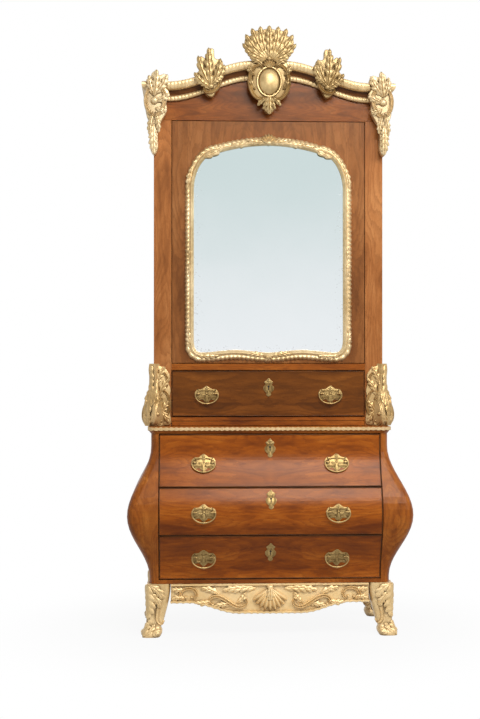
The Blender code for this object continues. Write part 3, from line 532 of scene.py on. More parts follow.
for side, sign in SIDES:
    for end, centre_y, splay_y, turn in (("front", FRONT_FOOT_Y, -FOOT_SPLAY, -45),
                                         ("back", BACK_FOOT_Y, BACK_FOOT_SPLAY, -42)):
        face = math.radians(turn if sign > 0 else -180 - turn)
        carve(f"{end}_{side}_foot_carving", foot_work(), foot_ground(sign, centre_y, splay_y, face),
              "case", "gilt", foot_gilt, f"{end}_{side}_foot")


# Apron: a lime board under the chest front, carved with a shell, scrolls and leaves and gilded like the feet.
# It is glued and pinned to the case bottom between the two front feet.
(_, CHEST_FRONT_Y, _), (APRON_HALF, _, APRON_TOP) = node_box("front_apron")
APRON_DEPTH = 78
APRON_BELLY = 42
APRON_BOARD = 24
BELLY_HALF = 120
BELLY_SLOPE = 200
APRON_STEPS = 96
UPPER_RAIL = 194.5
apron_gilt = gilding("apron_gilding", (0.82, 0.565, 0.250), (0.96, 0.710, 0.365), metal=0.22, dirt_and_shade=0.6)


def apron_edge(x):
    """Level of the apron's lower edge."""
    return APRON_TOP - APRON_DEPTH - APRON_BELLY * (1 - ease((abs(x) - BELLY_HALF) / BELLY_SLOPE))


work = Carving()
work.scroll((118, 112), (214, 154), (4.4, -4.4), 0, 8, 14, tight=0.20)
work.scroll((290, 172), (352, 160), (-4.2, -4.2), -0.6, 7, 12, tight=0.20)
work.leaves(
    ((56, 184), (186, 178), 18, 12, 0.06, 5, 6),
    ((130, 128), (96, 168), 12, 11, 0.20, 3, 5),
    ((148, 120), (222, 112), 13, 12, 0.16, 4, 5),
    ((200, 160), (270, 186), 14, 11, 0.20, 3, 5),
    ((226, 138), (290, 132), 13, 11, -0.20, 3, 5),
    ((330, 182), (384, 182), 12, 10, -0.1, 3, 4),
    ((332, 146), (384, 142), 12, 10, 0.2, 3, 4),
)
work.mirror()
edge = []
for step in range(APRON_STEPS + 1):
    x = APRON_HALF * (2 * step / APRON_STEPS - 1)
    edge.append((x, apron_edge(x) + 3 * math.sin(math.pi * step / 3) ** 2))
work.blank(edge + [(APRON_HALF, APRON_TOP), (-APRON_HALF, APRON_TOP)], -APRON_BOARD, 0, 3)
rail = [(0, -2), (0, 6), (2.5, 10), (7, 10), (9.5, 6), (9.5, -2)]
work.band([(x, UPPER_RAIL) for x in (-APRON_HALF, 0, APRON_HALF)], rail)
work.band(edge, rail)
work.shell((0, 188), 92, 60, 9, 18, turn=180)
work.leaf((0, 196), (0, 138), 14, 12, 0, 3, 4, 13)
work.boss((0, 190), (13, 10), 14, 8)
carve("front_apron_carving", work, lambda u, v, n: (u, CHEST_FRONT_Y - n, v),
      "case", "gilt", apron_gilt, "front_apron")


# Chest top: a walnut board with an ogee edge, glued down on the chest.
# A gilt bead is pinned along its front and sides, just under its upper arris.
(_, TOP_FRONT_Y, _), (TOP_HALF, _, TOP_LEVEL) = node_box("chest_top")
TOP_CORNER = 30
BEAD_LEVEL = TOP_LEVEL - 6.5
BEAD_STEPS = 180
dress(case_walnut, "chest_top")
trim_gilt = gilding("trim_gilding", (0.50, 0.33, 0.140), (0.74, 0.54, 0.280), metal=0.45)


def top_edge():
    """Plan of the chest top's edge, from its back left corner round the front to its back right corner."""
    corner_x = TOP_HALF - TOP_CORNER
    corner_y = TOP_FRONT_Y + TOP_CORNER
    shares = [step / BEAD_STEPS for step in range(1, BEAD_STEPS)]
    right = [(TOP_HALF, BACK_Y - 1)]
    right += [(TOP_HALF, BACK_Y + (corner_y - BACK_Y) * share) for share in shares]
    right += arc((corner_x, corner_y), (TOP_CORNER, TOP_CORNER), 0, -90, 20)
    right += [(corner_x * (1 - share), TOP_FRONT_Y) for share in (*shares, 1)]
    return [(-x, y) for x, y in right[:-1]] + right[::-1]


work = Carving()
work.band(top_edge(), [(-3, 5.8), (2, 5.2), (4.6, 2), (4.6, -2), (2, -5.2), (-3, -5.8)], beat=0.2)
carve("chest_top_gilt_bead", work, lambda u, v, n: (u, v, BEAD_LEVEL + n), "case", "gilt", trim_gilt)


# Chest drawers: three swelling fronts of pine faced with matched walnut, each dovetailed to a pine box.
# A thin cock bead runs round each front, a brass escutcheon lines its keyhole, and an iron lock is screwed
# on behind it.
SWELL = 91
SWELL_PEAK = 475
SWELL_RISE = 265
SWELL_TUCK = 85
SWELL_FALL = 250
FRONT_BOARD = 24
ESCUTCHEON_SIZE = 1.35
FIGURE = (2, 7, 9)
FRONT_TONES = ((0.122, 0.022, 0.0012), (0.305, 0.070, 0.0038), (0.480, 0.140, 0.014))
BEAD_TONES = ((0.040, 0.012, 0.002), (0.105, 0.030, 0.005), (0.20, 0.065, 0.012))
front_veneer = veneer("drawer_front_veneer", FRONT_TONES, FIGURE, matched=True, gloss=0.26)
bead_walnut = veneer("cock_bead_walnut", BEAD_TONES, (3, 12, 12))
box_pine = pine("drawer_box_pine", (12, 1.1, 12), cross=(1.1, 12, 12))


def brass(name, deep, bright):
    """Cast brass, lacquered and toned, dull in its hollows and rubbed bright on its edges."""
    finish, sockets, place = new_finish(name, Metallic=0.85)
    cast = noise(place, 120, 4, 0.6)
    broad = noise(place, 14)
    clear = place.node("ShaderNodeAmbientOcclusion", {"samples": 6}, {"Distance": 0.010}, "AO")
    hollow = 1 - clear.limit(0.30, 0.85)
    raised = place.node("ShaderNodeNewGeometry", output="Pointiness").limit(0.51, 0.60)
    colour = (broad * 0.6 + cast * 0.4).limit(0.35, 0.65).blend(deep, bright)
    colour = (raised * 0.5).blend(colour, (0.62, 0.40, 0.16))
    colour = (hollow * 0.8).blend(colour, (0.060, 0.032, 0.012))
    coat(sockets, colour, 0.28 + 0.20 * cast + 0.20 * hollow, cast, 0.15, 0.0006)
    return finish


handle_brass = brass("handle_brass", (0.215, 0.136, 0.046), (0.370, 0.254, 0.100))
# Near-black iron for the locks; the same finish on the keyholes is painted shade of the key opening.
iron_and_keyhole_shade, sockets, place = new_finish("iron_and_keyhole_shade", Metallic=0.3)
grime = noise(place, 90)
iron_and_keyhole_shade_colour = grime.blend((0.006, 0.004, 0.003), (0.020, 0.014, 0.010))
coat(sockets, iron_and_keyhole_shade_colour, 0.6 + 0.3 * grime, grime, 0.2, 0.0005)


def swelling_front(z):
    """Where the chest's swelling front stands at a level."""
    if z > SWELL_PEAK:
        return CHEST_FRONT_Y - SWELL * (1 - ease((z - SWELL_PEAK) / SWELL_RISE))
    return CHEST_FRONT_Y - SWELL + SWELL_TUCK * ease((SWELL_PEAK - z) / SWELL_FALL)


def on_front(surface, x, z, size=1):
    """Puts work on a drawer front, about a point and at a size of its own."""
    def place(u, v, n):
        return (x + size * u, surface(z + size * v) - n, z + size * v)
    return place


def flow(points, steps=5, closed=False):
    """A smooth run through the given points."""
    around = [points[-1], *points, *points[:2]] if closed else [points[0], *points, points[-1]]
    run = []
    for four in zip(around, around[1:], around[2:], around[3:]):
        for step in range(steps):
            s = step / steps
            weights = (-0.5 * s + s * s - 0.5 * s ** 3, 1 - 2.5 * s * s + 1.5 * s ** 3,
                       0.5 * s + 2 * s * s - 1.5 * s ** 3, -0.5 * s * s + 0.5 * s ** 3)
            run.append(tuple(sum(weight * value for weight, value in zip(weights, values))
                             for values in zip(*four)))
    return run if closed else [*run, tuple(points[-1])]


def whole(half):
    """A whole outline, from its right half drawn from foot to top."""
    return half + [(-u, v) for u, v in half[-2:0:-1]]


def cock_bead(half_width, bottom, top):
    """A half-round bead just inside the edge of a drawer front."""
    corners = ((half_width, bottom), (half_width, top), (-half_width, top), (-half_width, bottom))
    path = []
    for (x, z), (next_x, next_z) in zip(corners, corners[1:] + corners[:1]):
        path += [(x + (next_x - x) * step / 24, z + (next_z - z) * step / 24) for step in range(24)]
    work = Carving()
    work.band(path, [(0, -1), (0, 1), (1, 1.8), (2.5, 1.8), (3.5, 1), (3.5, -1)], closed=True)
    return work


def escutcheon():
    """A cast keyhole plate with a leaf above and below its keyhole."""
    half = [(0, -27), (7, -22), (6, -14), (14, -9), (15.5, 2), (9, 8), (13, 16), (6, 22), (0, 28)]
    work = Carving()
    work.scroll((8.5, -12), (9.5, 6), (3, 3), 0.8, 2.4, 3, 1.6)
    work.leaf((3, 9), (11.5, 16.5), 3.4, 2.6, 0.2, 3, 1, 1.8)
    work.mirror()
    work.blank(flow(whole(half), 4, closed=True), 0, 2, 0.8)
    work.leaf((0, 8), (0, 27.5), 4.6, 3.4, 0, 3, 1.2, 1.8)
    work.leaf((0, -10), (0, -26.5), 4.2, 3.2, 0, 3, 1.2, 1.8)
    return work


# Painted shade: the keyhole is a near-black iron piece set on the plate, standing for the dark opening.
def keyhole():
    bow = arc((0, 3), (3, 3), -60, 240, 15)
    work = Carving()
    work.blank([(1.5, -7.5), (1.1, 0), *bow, (-1.1, 0), (-1.5, -7.5)], 0.5, 2.4, 0.1)
    return work


def dovetails(bottom, top):
    """The ends of four tails of a drawer's side, let into the end of its front."""
    work = Carving()
    for index in range(4):
        middle = bottom + (top - bottom) * (index + 0.5) / 4
        tail = [(8, middle - 16), (FRONT_BOARD, middle - 10), (FRONT_BOARD, middle + 10), (8, middle + 16)]
        work.blank(tail, -1, 0.4, 0.1)
    return work


def lock():
    """A lock's plate, let into the back of a drawer front, with its case and four screws."""
    work = Carving()
    work.blank([(-34, -24), (34, -24), (34, 26), (-34, 26)], -10, 3, 0.6)
    work.blank([(-22, -17), (22, -17), (22, 20), (-22, 20)], 1, 10, 1)
    for screw in ((-28, -18), (-28, 20), (28, -18), (28, 20)):
        work.boss(screw, (3, 3), 1.5, 3)
    return work


def fit_drawer(drawer, finish, surface, lock_level):
    """Dresses a drawer, beads its front, lines its keyhole, and lets in its dovetails and its lock."""
    (_, _, bottom), (half_width, _, top) = node_box(f"{drawer}_front")
    dress(finish, f"{drawer}_front")
    dress(box_pine, f"{drawer}_box")
    carve(f"{drawer}_cock_bead", cock_bead(half_width, bottom, top), on_front(surface, 0, 0),
          drawer, "dark_walnut", bead_walnut)
    at_keyhole = on_front(surface, 0, lock_level, ESCUTCHEON_SIZE)
    carve(f"{drawer}_escutcheon", escutcheon(), at_keyhole, drawer, "brass", handle_brass)
    carve(f"{drawer}_keyhole", keyhole(), at_keyhole, drawer, "brass", iron_and_keyhole_shade)
    for side, sign in SIDES:
        carve(f"{drawer}_{side}_dovetails", dovetails(bottom, top),
              lambda u, v, n: (sign * (half_width + n), surface(v) + u, v), drawer, "pine", box_pine)
    inside = surface(lock_level) + FRONT_BOARD
    carve(f"{drawer}_lock", lock(), lambda u, v, n: (u, inside + n, lock_level + v),
          drawer, "brass", iron_and_keyhole_shade)


CHEST_LOCKS = {"lower_drawer": 330, "middle_drawer": 538, "upper_drawer": 732.5}
for drawer, lock_level in CHEST_LOCKS.items():
    fit_drawer(drawer, front_veneer, swelling_front, lock_level)


# Handles: cast brass backplates with two bored posts, and swinging bails whose pins turn in the posts.
# The plates are chased with leaves and bolted through the drawer fronts.
POST_X = 34.5
STANDOFF = 12
BAIL_DROP = 40
BAIL_HALF = 45.5
BAIL_BEND = 6
PIN_END = 26.5
BAIL_REST = 6.4


def plate_work():
    half = [(0, -37.5), (8.5, -31.5), (17.5, -23.5), (34.6, -25), (48, -3.2), (39, 15), (20.5, 18),
            (8.5, 26.5), (0, 30.5)]
    post = ((7.5, 1), (7.5, 4), (5.2, 5.5), (5, 13.5), (4.2, 16.2), (2, 17.2))
    work = Carving()
    work.scroll((12, -18), (32, -17), (3.2, -3), 0, 3, 3.2, 1.6)
    work.scroll((10, 12), (30, 10), (-3.2, 3), 0, 2.8, 3, 1.6)
    work.leaf((26, -2), (47, -4), 7.5, 3.2, 0.1, 3, 1, 1.6)
    work.leaf((4, -4), (21, -3), 6, 3, -0.2, 3, 0.8, 1.6)
    work.turned((POST_X, 0), [(radius, radius, n) for radius, n in post])
    work.mirror()
    work.blank(flow(whole(half), 5, closed=True), 0, 2.1, 0.9)
    work.leaf((0, 4), (0, 29.8), 8.4, 3.6, 0, 3, 1.2, 1.8)
    work.leaf((0, -4), (0, -36.5), 8.6, 3.6, 0, 4, 1.2, 1.8)
    work.boss((0, 0), (5.2, 5.2), 4, 1.8)
    return work


def bail_work():
    """A bent rod, thickest at its middle, where it is turned with a ball between two collars."""
    half = [(PIN_END, 0), *arc((BAIL_HALF - BAIL_BEND, -BAIL_BEND), (BAIL_BEND, BAIL_BEND), 90, 0, 5)]
    half += arc((0, -BAIL_BEND), (BAIL_HALF, BAIL_DROP - BAIL_BEND), 0, -90, 30)[1:]
    path = [complex(*point) for point in half + [(-u, v) for u, v in half[-2::-1]]]
    sections = []
    for point in path:
        span = abs(point.real)
        radius = 2.4
        if point.imag < -12:
            knob = math.exp(-(span / 3.5) ** 4) + 0.6 * math.exp(-((span - 7.5) / 1.6) ** 2)
            radius += 0.7 * (1 - span / BAIL_HALF) + 1.6 * knob
        sections.append(arc((0, 0), (radius, radius), 0, 360, 10)[1:])
    work = Carving()
    work.sweep(path, sections)
    return work


def hang_handles(drawer, surface):
    """Two handles on a drawer; each bail hangs down, or leans on the front where that swells out below it."""
    for side, _ in SIDES:
        plate = f"{drawer}_{side}_plate"
        bail = f"{drawer}_{side}_bail"
        x, _, level = [(low + high) / 2 for low, high in zip(*node_box(plate))]
        advance = surface(level) - surface(level - BAIL_DROP)
        lean = math.asin(max(0, (advance - BAIL_REST) / BAIL_DROP))

        def on_pivot(u, v, n):
            return (x + u, surface(level) - STANDOFF - n * math.cos(lean) + v * math.sin(lean),
                    level + n * math.sin(lean) + v * math.cos(lean))

        carve(f"{plate}_casting", plate_work(), on_front(surface, x, level),
              drawer, "brass", handle_brass, plate)
        carve(f"{bail}_casting", bail_work(), on_pivot, bail, "brass", handle_brass, bail)


for drawer in CHEST_LOCKS:
    hang_handles(drawer, swelling_front)


# Writing slide: a walnut board that pulls out over the chest, with a leather panel let into its top.
# The leather is glued down and tooled with a gold line near its edge.
SLIDE_TOP = node_box("writing_slide")[1][2]
LEATHER_HALF_WIDTH = 352
LEATHER_HALF_DEPTH = 120
LEATHER_MIDDLE = 75
LEATHER_CORNER = 10
TOOLED_LINE = 16
dress(case_walnut, "writing_slide")
slide_leather, sockets, place = new_finish("slide_leather", Specular_IOR_Level=0.35)
x, y, z = split(place)
grain = place.node("ShaderNodeTexVoronoi", {"feature": "DISTANCE_TO_EDGE"}, {"Vector": place, "Scale": 420})
worn = noise(place, 7, 4)
colour = worn.limit(0.35, 0.70).blend((0.035, 0.055, 0.028), (0.085, 0.110, 0.055))
from_side = LEATHER_HALF_WIDTH * MM - abs(x)
from_edge = from_side.maths("MINIMUM", LEATHER_HALF_DEPTH * MM - abs(y - LEATHER_MIDDLE * MM))
tooled = (1 - abs(from_edge - TOOLED_LINE * MM).limit(0.0006, 0.0012)) * worn.limit(0.25, 0.45)
colour = tooled.blend(colour, (0.62, 0.40, 0.14))
feed(sockets["Metallic"], tooled * 0.8)
coat(sockets, colour, 0.60 - 0.20 * worn, grain.limit(0, 0.08) - tooled, 0.4, 0.0006)
work = Carving()
outline = []
for right, back, start in ((1, -1, -90), (1, 1, 0), (-1, 1, 90), (-1, -1, 180)):
    corner = (right * (LEATHER_HALF_WIDTH - LEATHER_CORNER),
              LEATHER_MIDDLE + back * (LEATHER_HALF_DEPTH - LEATHER_CORNER))
    outline += arc(corner, (LEATHER_CORNER, LEATHER_CORNER), start, start + 90, 6)
work.blank(outline, -2, 0.6, 0.3)
carve("writing_slide_leather", work, lambda u, v, n: (u, v, SLIDE_TOP + n),
      "writing_slide", "leather", slide_leather)


# Upper case: pine sides, base, floor, shelf and top, with two pilasters and an arched frieze in front.
# All that shows is veneered in walnut; the pilasters and sides have straight grain, the frieze is matched.
UPRIGHT = (9, 9, 2)
STILE_TONES = ((0.165, 0.049, 0.011), (0.345, 0.119, 0.031), (0.470, 0.190, 0.060))
FRIEZE_TONES = ((0.076, 0.018, 0.002), (0.202, 0.051, 0.007), (0.320, 0.098, 0.017))
stile_veneer = veneer("stile_veneer", STILE_TONES, UPRIGHT, gloss=0.34)
frieze_veneer = veneer("frieze_veneer", FRIEZE_TONES, FIGURE, matched=True)
dress(stile_veneer, "left_pilaster", "right_pilaster", "cabinet_left_side", "cabinet_right_side")
dress(case_walnut, "cabinet_base", "cabinet_floor")
dress(board_pine, "shelf", "cabinet_top")
dress(frieze_veneer, "frieze")


# Consoles: two carved and gilt scroll brackets across the front corners of the waist.
# Each is a block of lime, hollowed on its face, with a volute on either side, and it is glued to the corner
# between two carved wings, one on the pilaster and one on the cabinet's side.
(_, CABINET_FRONT_Y, _), (CABINET_HALF_WIDTH, _, _) = node_box("frieze")
(_, _, CONSOLE_FOOT), (_, _, console_top) = node_box("left_console")
CONSOLE_HEIGHT = console_top - CONSOLE_FOOT
CONSOLE_REACH = 31
CONSOLE_HALF = 34
CONSOLE_ROOT = 30
SLANT = math.sqrt(0.5)
CONSOLE_LEVELS = flow([(0, 0.62, 0.92), (0.08, 0.92, 1), (0.20, 1, 1), (0.34, 0.86, 0.92), (0.48, 0.50, 0.72),
                       (0.62, 0.34, 0.56), (0.78, 0.32, 0.50), (0.90, 0.40, 0.54), (1, 0.34, 0.46)], 8)
console_gilt = gilding("console_gilding", (0.40, 0.245, 0.085), (0.64, 0.44, 0.20))


def console_size(v):
    """Reach and half thickness of a console at a height above its foot."""
    share = min(max(v / CONSOLE_HEIGHT, 0), 1)
    for low, high in zip(CONSOLE_LEVELS, CONSOLE_LEVELS[1:]):
        if share <= high[0]:
            break
    s = (share - low[0]) / (high[0] - low[0])
    return CONSOLE_REACH * (low[1] + s * (high[1] - low[1])), CONSOLE_HALF * (low[2] + s * (high[2] - low[2]))


def console_block():
    hollow = ((0.86, 0), (0.70, 0), (0.56, 2), (0.3, 3.6), (0, 4))
    face = ((1, 2.5), *hollow)
    face = [(-t, sink) for t, sink in face] + list(face[-2::-1])
    rings = []
    for v in (CONSOLE_HEIGHT * level / 56 for level in range(57)):
        reach, half = console_size(v)
        front = [(reach * (1 - sink / CONSOLE_REACH), t * half, v) for t, sink in face]
        rings.append([(-CONSOLE_ROOT, -half, v), *front, (-CONSOLE_ROOT, half, v)])
    work = Carving()
    work.skin(rings)
    return work


def console_leaves():
    work = Carving()
    work.leaf((6, 150), (21, 85), 12, 7, 0.2, 3, 3)
    work.leaf((8, 12), (24, 50), 10, 6, -0.2, 3, 3)
    work.mirror()
    work.leaf((0, 242), (0, 140), 13, 8, 0, 4, 3)
    work.leaf((0, 165), (0, 36), 21, 9, 0, 5, 3)
    work.leaf((0, 2), (0, 46), 16, 8, 0, 3, 2)
    return work


def console_wing():
    outline = [(0, 2), (30, 2), (62, 4), (68, 22), (65, 50), (68, 80), (63, 112), (67, 142), (60, 170),
               (64, 198), (54, 220), (38, 234), (18, 241), (0, 242), (0, 234), (0, 120), (0, 10)]
    work = Carving()
    work.blank(flow(outline, 4, closed=True), -2, 6, 3)
    work.scroll((52, 44), (52, 128), (3.8, 3.2), 0.5, 6, 9, 4)
    work.scroll((52, 160), (42, 210), (3.4, 3.2), 0.5, 5, 8, 4)
    for root, tip, bow in (((20, 110), (64, 190), 0.15), ((12, 160), (44, 236), 0.12),
                           ((24, 30), (62, 100), 0.15), ((18, 70), (58, 12), 0.15)):
        work.leaf(root, tip, 14, 9, bow, 4, 3, 5)
    return work


def console_volute():
    work = Carving()
    work.scroll((18, 14), (4, 100), (4.2, 2.6), 1, 5.5, 5)
    work.boss((10, 48), (9, 9), 6)
    work.leaf((0, 85), (-4, 190), 9, 5, -0.1, 4)
    return work


for side, sign in SIDES:
    def on_corner(out, across, v):
        """Puts work in a console's own plan: out from the corner, across it, and up."""
        x = CABINET_HALF_WIDTH + SLANT * (out + across)
        return (sign * x, CABINET_FRONT_Y - SLANT * (out - across), CONSOLE_FOOT + v)

    def on_face(u, v, n):
        return on_corner(0.88 * console_size(v)[0] + n, u, v)

    def on_pilaster(u, v, n):
        return (sign * (CABINET_HALF_WIDTH - u), CABINET_FRONT_Y - n, CONSOLE_FOOT + v)

    def on_side(u, v, n):
        return (sign * (CABINET_HALF_WIDTH + n), CABINET_FRONT_Y + u, CONSOLE_FOOT + v)

    def on_inner_cheek(u, v, n):
        return on_corner(u, -console_size(v)[1] - n, v)

    def on_outer_cheek(u, v, n):
        return on_corner(u, console_size(v)[1] + n, v)

    carve(f"{side}_console_block", console_block(), on_corner,
          "case", "gilt", console_gilt, f"{side}_console")
    for part, work, ground in (("leaves", console_leaves(), on_face),
                               ("front_wing", console_wing(), on_pilaster),
                               ("side_wing", console_wing(), on_side),
                               ("inner_volute", console_volute(), on_inner_cheek),
                               ("outer_volute", console_volute(), on_outer_cheek)):
        carve(f"{side}_console_{part}", work, ground, "case", "gilt", console_gilt)


# Waist drawer: a flat front of walnut between the pilasters, dovetailed to a pine box; its walnut is coloured
# darker than the rest as painted shade.
# It has the same handles, cock bead, escutcheon and lock as the chest drawers.
WAIST_FACE_Y = node_box("waist_drawer_front")[0][1]
WAIST_LOCK = 968
# Painted shade: these tones are darker than the other walnut to stand in for the shade on the waist.
WAIST_SHADED_TONES = ((0.055, 0.014, 0.001), (0.150, 0.042, 0.004), (0.260, 0.082, 0.012))
waist_veneer_with_painted_shade = veneer("waist_veneer_with_painted_shade", WAIST_SHADED_TONES, FIGURE, matched=True)


def flat_front(z):
    return WAIST_FACE_Y


fit_drawer("waist_drawer", waist_veneer_with_painted_shade, flat_front, WAIST_LOCK)
hang_handles("waist_drawer", flat_front)


# Mirror door: one veneered pine panel with a shaped glass let into its face, turning on two brass pivots.
# The old silvering has gone grey and spotted near its edges; a painted reflection also runs from pale grey at
# the foot of the glass to a greener grey at its top.
DOOR_TONES = ((0.112, 0.034, 0.008), (0.245, 0.085, 0.022), (0.360, 0.146, 0.047))
door_veneer = veneer("door_veneer", DOOR_TONES, UPRIGHT, matched=True, gloss=0.34)
dress(door_veneer, "door_panel")
pivot_brass = brass("pivot_brass", (0.24, 0.14, 0.05), (0.40, 0.26, 0.10))
dress(pivot_brass, "lower_door_pivot", "upper_door_pivot")

mirror_silver, sockets, place = new_finish("mirror_silvering", Metallic=1)
x, y, z = split(place)
cloud = noise(place, 5, 4)
spots = noise(place, 120, 3, 0.6)
near_side = abs(x).limit(0.255, 0.298)
near_foot = 1 - z.limit(1.105, 1.150)
tarnish = spots.limit(0.60, 0.70) * near_side.maths("MAXIMUM", near_foot)
# Painted reflection: the glass is paler at its foot and a greener grey towards its top, graded by height.
silvering_and_painted_reflection = (z + 0.20 * cloud).limit(1.15, 2.05).blend((0.83, 0.86, 0.88), (0.60, 0.70, 0.70))
colour = (tarnish * 0.7).blend(silvering_and_painted_reflection, (0.20, 0.19, 0.16))
coat(sockets, colour, 0.04 + 0.04 * cloud + 0.35 * tarnish, cloud + 0.2 * spots, 0.02, 0.001)
dress(mirror_silver, "mirror_glass")


# Mirror frame: a carved and gilt moulding round the glass, mitred and pinned to the door.
# A shell crowns it, another hangs at its foot, and leaves turn its corners.
GLASS_HALF = 298
GLASS_FOOT = 1103.5
GLASS_CORNER = 30
GLASS_WAVE = 5
SHOULDER_FOOT = 1752.5
SHOULDER_WIDE = 100
SHOULDER_TALL = 150
CROWN_RISE = 30
MOULDING_WIDE = 34
MOULDING_HIGH = 18
FOOT_LIP = 4
GLUE_LINE = 0.3
frame_gilt = gilding("frame_gilding", (0.50, 0.34, 0.15), (0.74, 0.57, 0.32))


def glass_edge():
    """Edge of the visible glass, anticlockwise from the middle of its foot."""
    inner = GLASS_HALF - GLASS_CORNER
    corner_z = GLASS_FOOT + GLASS_CORNER
    crown_half = GLASS_HALF - SHOULDER_WIDE
    half = []
    for x in (inner * step / 60 for step in range(61)):
        half.append((x, GLASS_FOOT + GLASS_WAVE * (1 - math.cos(math.tau * x / inner))))
    half += arc((inner, corner_z), (GLASS_CORNER, GLASS_CORNER), -90, 0, 12)[1:]
    half += [(GLASS_HALF, corner_z + (SHOULDER_FOOT - corner_z) * step / 140) for step in range(1, 140)]
    half += arc((crown_half, SHOULDER_FOOT), (SHOULDER_WIDE, SHOULDER_TALL), 0, 90, 40)
    for share in (1 - step / 45 for step in range(1, 46)):
        half.append((crown_half * share, SHOULDER_FOOT + SHOULDER_TALL + CROWN_RISE * (1 - share ** 2)))
    return whole(half)


def on_door(u, v, n):
    return (u, CABINET_FRONT_Y - GLUE_LINE - n, v)


path = [complex(*point) for point in glass_edge()]
profile = flow([(0, 0), (0, 0.30), (0.12, 0.62), (0.30, 1), (0.52, 0.62), (0.72, 0.74), (0.92, 0.42),
                (1, 0)], 3)
sections = []
for index, point in enumerate(path):
    lip = FOOT_LIP * (1 - ease((point.imag - GLASS_FOOT - 12) / 40))
    section = []
    for across, rise in profile:
        beat = math.cos(0.5 * math.pi * index) if across > 0.6 else 0
        section.append((lip * (1 - across) - MOULDING_WIDE * across * (1 + 0.05 * beat),
                        MOULDING_HIGH * max(rise, 0) * (1 + 0.22 * beat)))
    sections.append(section)
work = Carving()
work.sweep(path, sections, closed=True)
carve("mirror_frame_moulding", work, on_door, "door", "gilt", frame_gilt, "mirror_moulding")

work = Carving()
work.leaves(
    ((12, 1944), (92, 1956), 12, 10, -0.12, 4, 4, 10),
    ((70, 1942), (150, 1934), 11, 9, -0.12, 4, 3, 10),
    ((262, 1884), (178, 1926), 12, 9, 0.15, 3, 3, 10),
    ((300, 1850), (322, 1760), 12, 9, 0.10, 4, 3, 8),
    ((312, 1470), (312, 1530), 9, 8, 0, 3, 2, 10),
    ((312, 1466), (312, 1406), 9, 8, 0, 3, 2, 10),
    ((306, 1118), (318, 1205), 12, 9, -0.10, 4, 3, 8),
    ((286, 1097), (196, 1095), 11, 9, 0.10, 4, 3, 11),
    ((12, 1091), (90, 1101), 12, 9, 0.12, 4, 3, 11),
)
work.mirror()
work.shell((0, 1938), 41, 72, 7, 14, base=8)
work.boss((0, 1942), (12, 10), 12, 12)
work.shell((0, 1102), 26, 70, 5, 10, turn=180, base=8)
carve("mirror_frame_carving", work, on_door, "door", "gilt", frame_gilt)


# Cornice: a dark walnut cove that runs along the sides and arches over the front, mitred at the corners.
# Two gilt members, a carved bead below and a leaf edge above, are planted on it.
CORNICE_REACH = 45
CORNICE_HEIGHT = 72
CORNICE_ROOT = 20
SIDE_STEPS = 100
FRONT_STEPS = 256
ARCH_FOOT = 2105
ARCH_RISE = 85
CROWN_HALF = 60
ARCH_SLOPE = 340
CORNICE_TONES = ((0.035, 0.011, 0.002), (0.100, 0.032, 0.006), (0.180, 0.062, 0.014))
cornice_walnut = veneer("cornice_walnut", CORNICE_TONES, (2, 9, 9))
cornice_gilt = gilding("cornice_gilding", (0.56, 0.385, 0.170), (0.80, 0.600, 0.320), metal=0.40)


def arch(x):
    """Level of the frieze's arched upper edge."""
    return ARCH_FOOT + ARCH_RISE * (1 - ease((abs(x) - CROWN_HALF) / ARCH_SLOPE))


def sweep_cornice(work, section, back, beat=0):
    """Carries a section along both sides and over the front; a beat makes it swell and sink."""
    depth = back - CABINET_FRONT_Y
    left = [(-CABINET_HALF_WIDTH, back - depth * step / SIDE_STEPS, -1, 0) for step in range(SIDE_STEPS)]
    front = [(CABINET_HALF_WIDTH * (2 * step / FRONT_STEPS - 1), CABINET_FRONT_Y,
              (step == FRONT_STEPS) - (step == 0), -1) for step in range(FRONT_STEPS + 1)]
    right = [(-x, y, 1, 0) for x, y, _, _ in reversed(left)]
    rings = []
    for index, (x, y, out_x, out_y) in enumerate(left + front + right):
        swell = 1 + beat * math.cos(0.5 * math.pi * index)
        rings.append([(x + out_x * reach * swell, y + out_y * reach * swell, arch(x) + height)
                      for reach, height in section])
    work.skin(rings)


def as_drawn(u, v, n):
    return (u, v, n)


cove = arc((0.85 * CORNICE_REACH, 0.20 * CORNICE_HEIGHT), (-0.60 * CORNICE_REACH, 0.50 * CORNICE_HEIGHT),
           0, 90, 10)
upper_edge = [(44, 56), (CORNICE_REACH, 60), (CORNICE_REACH, 66.5), (43, 70), (39.6, CORNICE_HEIGHT)]
work = Carving()
section = [(-CORNICE_ROOT, 0), (6.6, 0), *cove, *upper_edge, (-CORNICE_ROOT, CORNICE_HEIGHT)]
sweep_cornice(work, section, BACK_Y)
carve("cornice_cove", work, as_drawn, "case", "dark_walnut", cornice_walnut, "cornice")
bead = [(4, 0), (12, 0), (16.5, 4), (19, 10), (17, 16.5), (12.5, 20.5), (4, 21)]
leaf_edge = [(20, 40), (33, 40), (40, 45), (44.5, 52), (46.5, 60), (46.5, 66.5), (44, 71.2), (39, 73.5),
             (20, 73.5)]
work = Carving()
gilt_back = BACK_Y - 2
sweep_cornice(work, bead, gilt_back, 0.10)
sweep_cornice(work, leaf_edge, gilt_back, 0.03)
carve("cornice_gilt_members", work, as_drawn, "case", "gilt", cornice_gilt)


# Crest: a cartouche with a plume over the middle, a leaf spray on each slope and a scroll at each corner.
# Each is built up of lime blocks, carved, gilt and screwed to the cornice from behind.
CREST_Y = -122.5
CREST_BLOCK = 51
CREST_EDGE = 3.5
SPRAY_X = 235
crest_gilt = gilding("crest_gilding", (0.33, 0.216, 0.083), (0.53, 0.382, 0.176))
corner_gilt = gilding("corner_gilding", (0.53, 0.380, 0.185), (0.76, 0.590, 0.345), metal=0.40)


def on_crest(x, sign=1):
    """Puts work on the front of the cornice, about a point of its upper edge."""
    seat = arch(x) + CORNICE_HEIGHT
    return lambda u, v, n: (sign * (x + u), CREST_Y - n, seat + v)


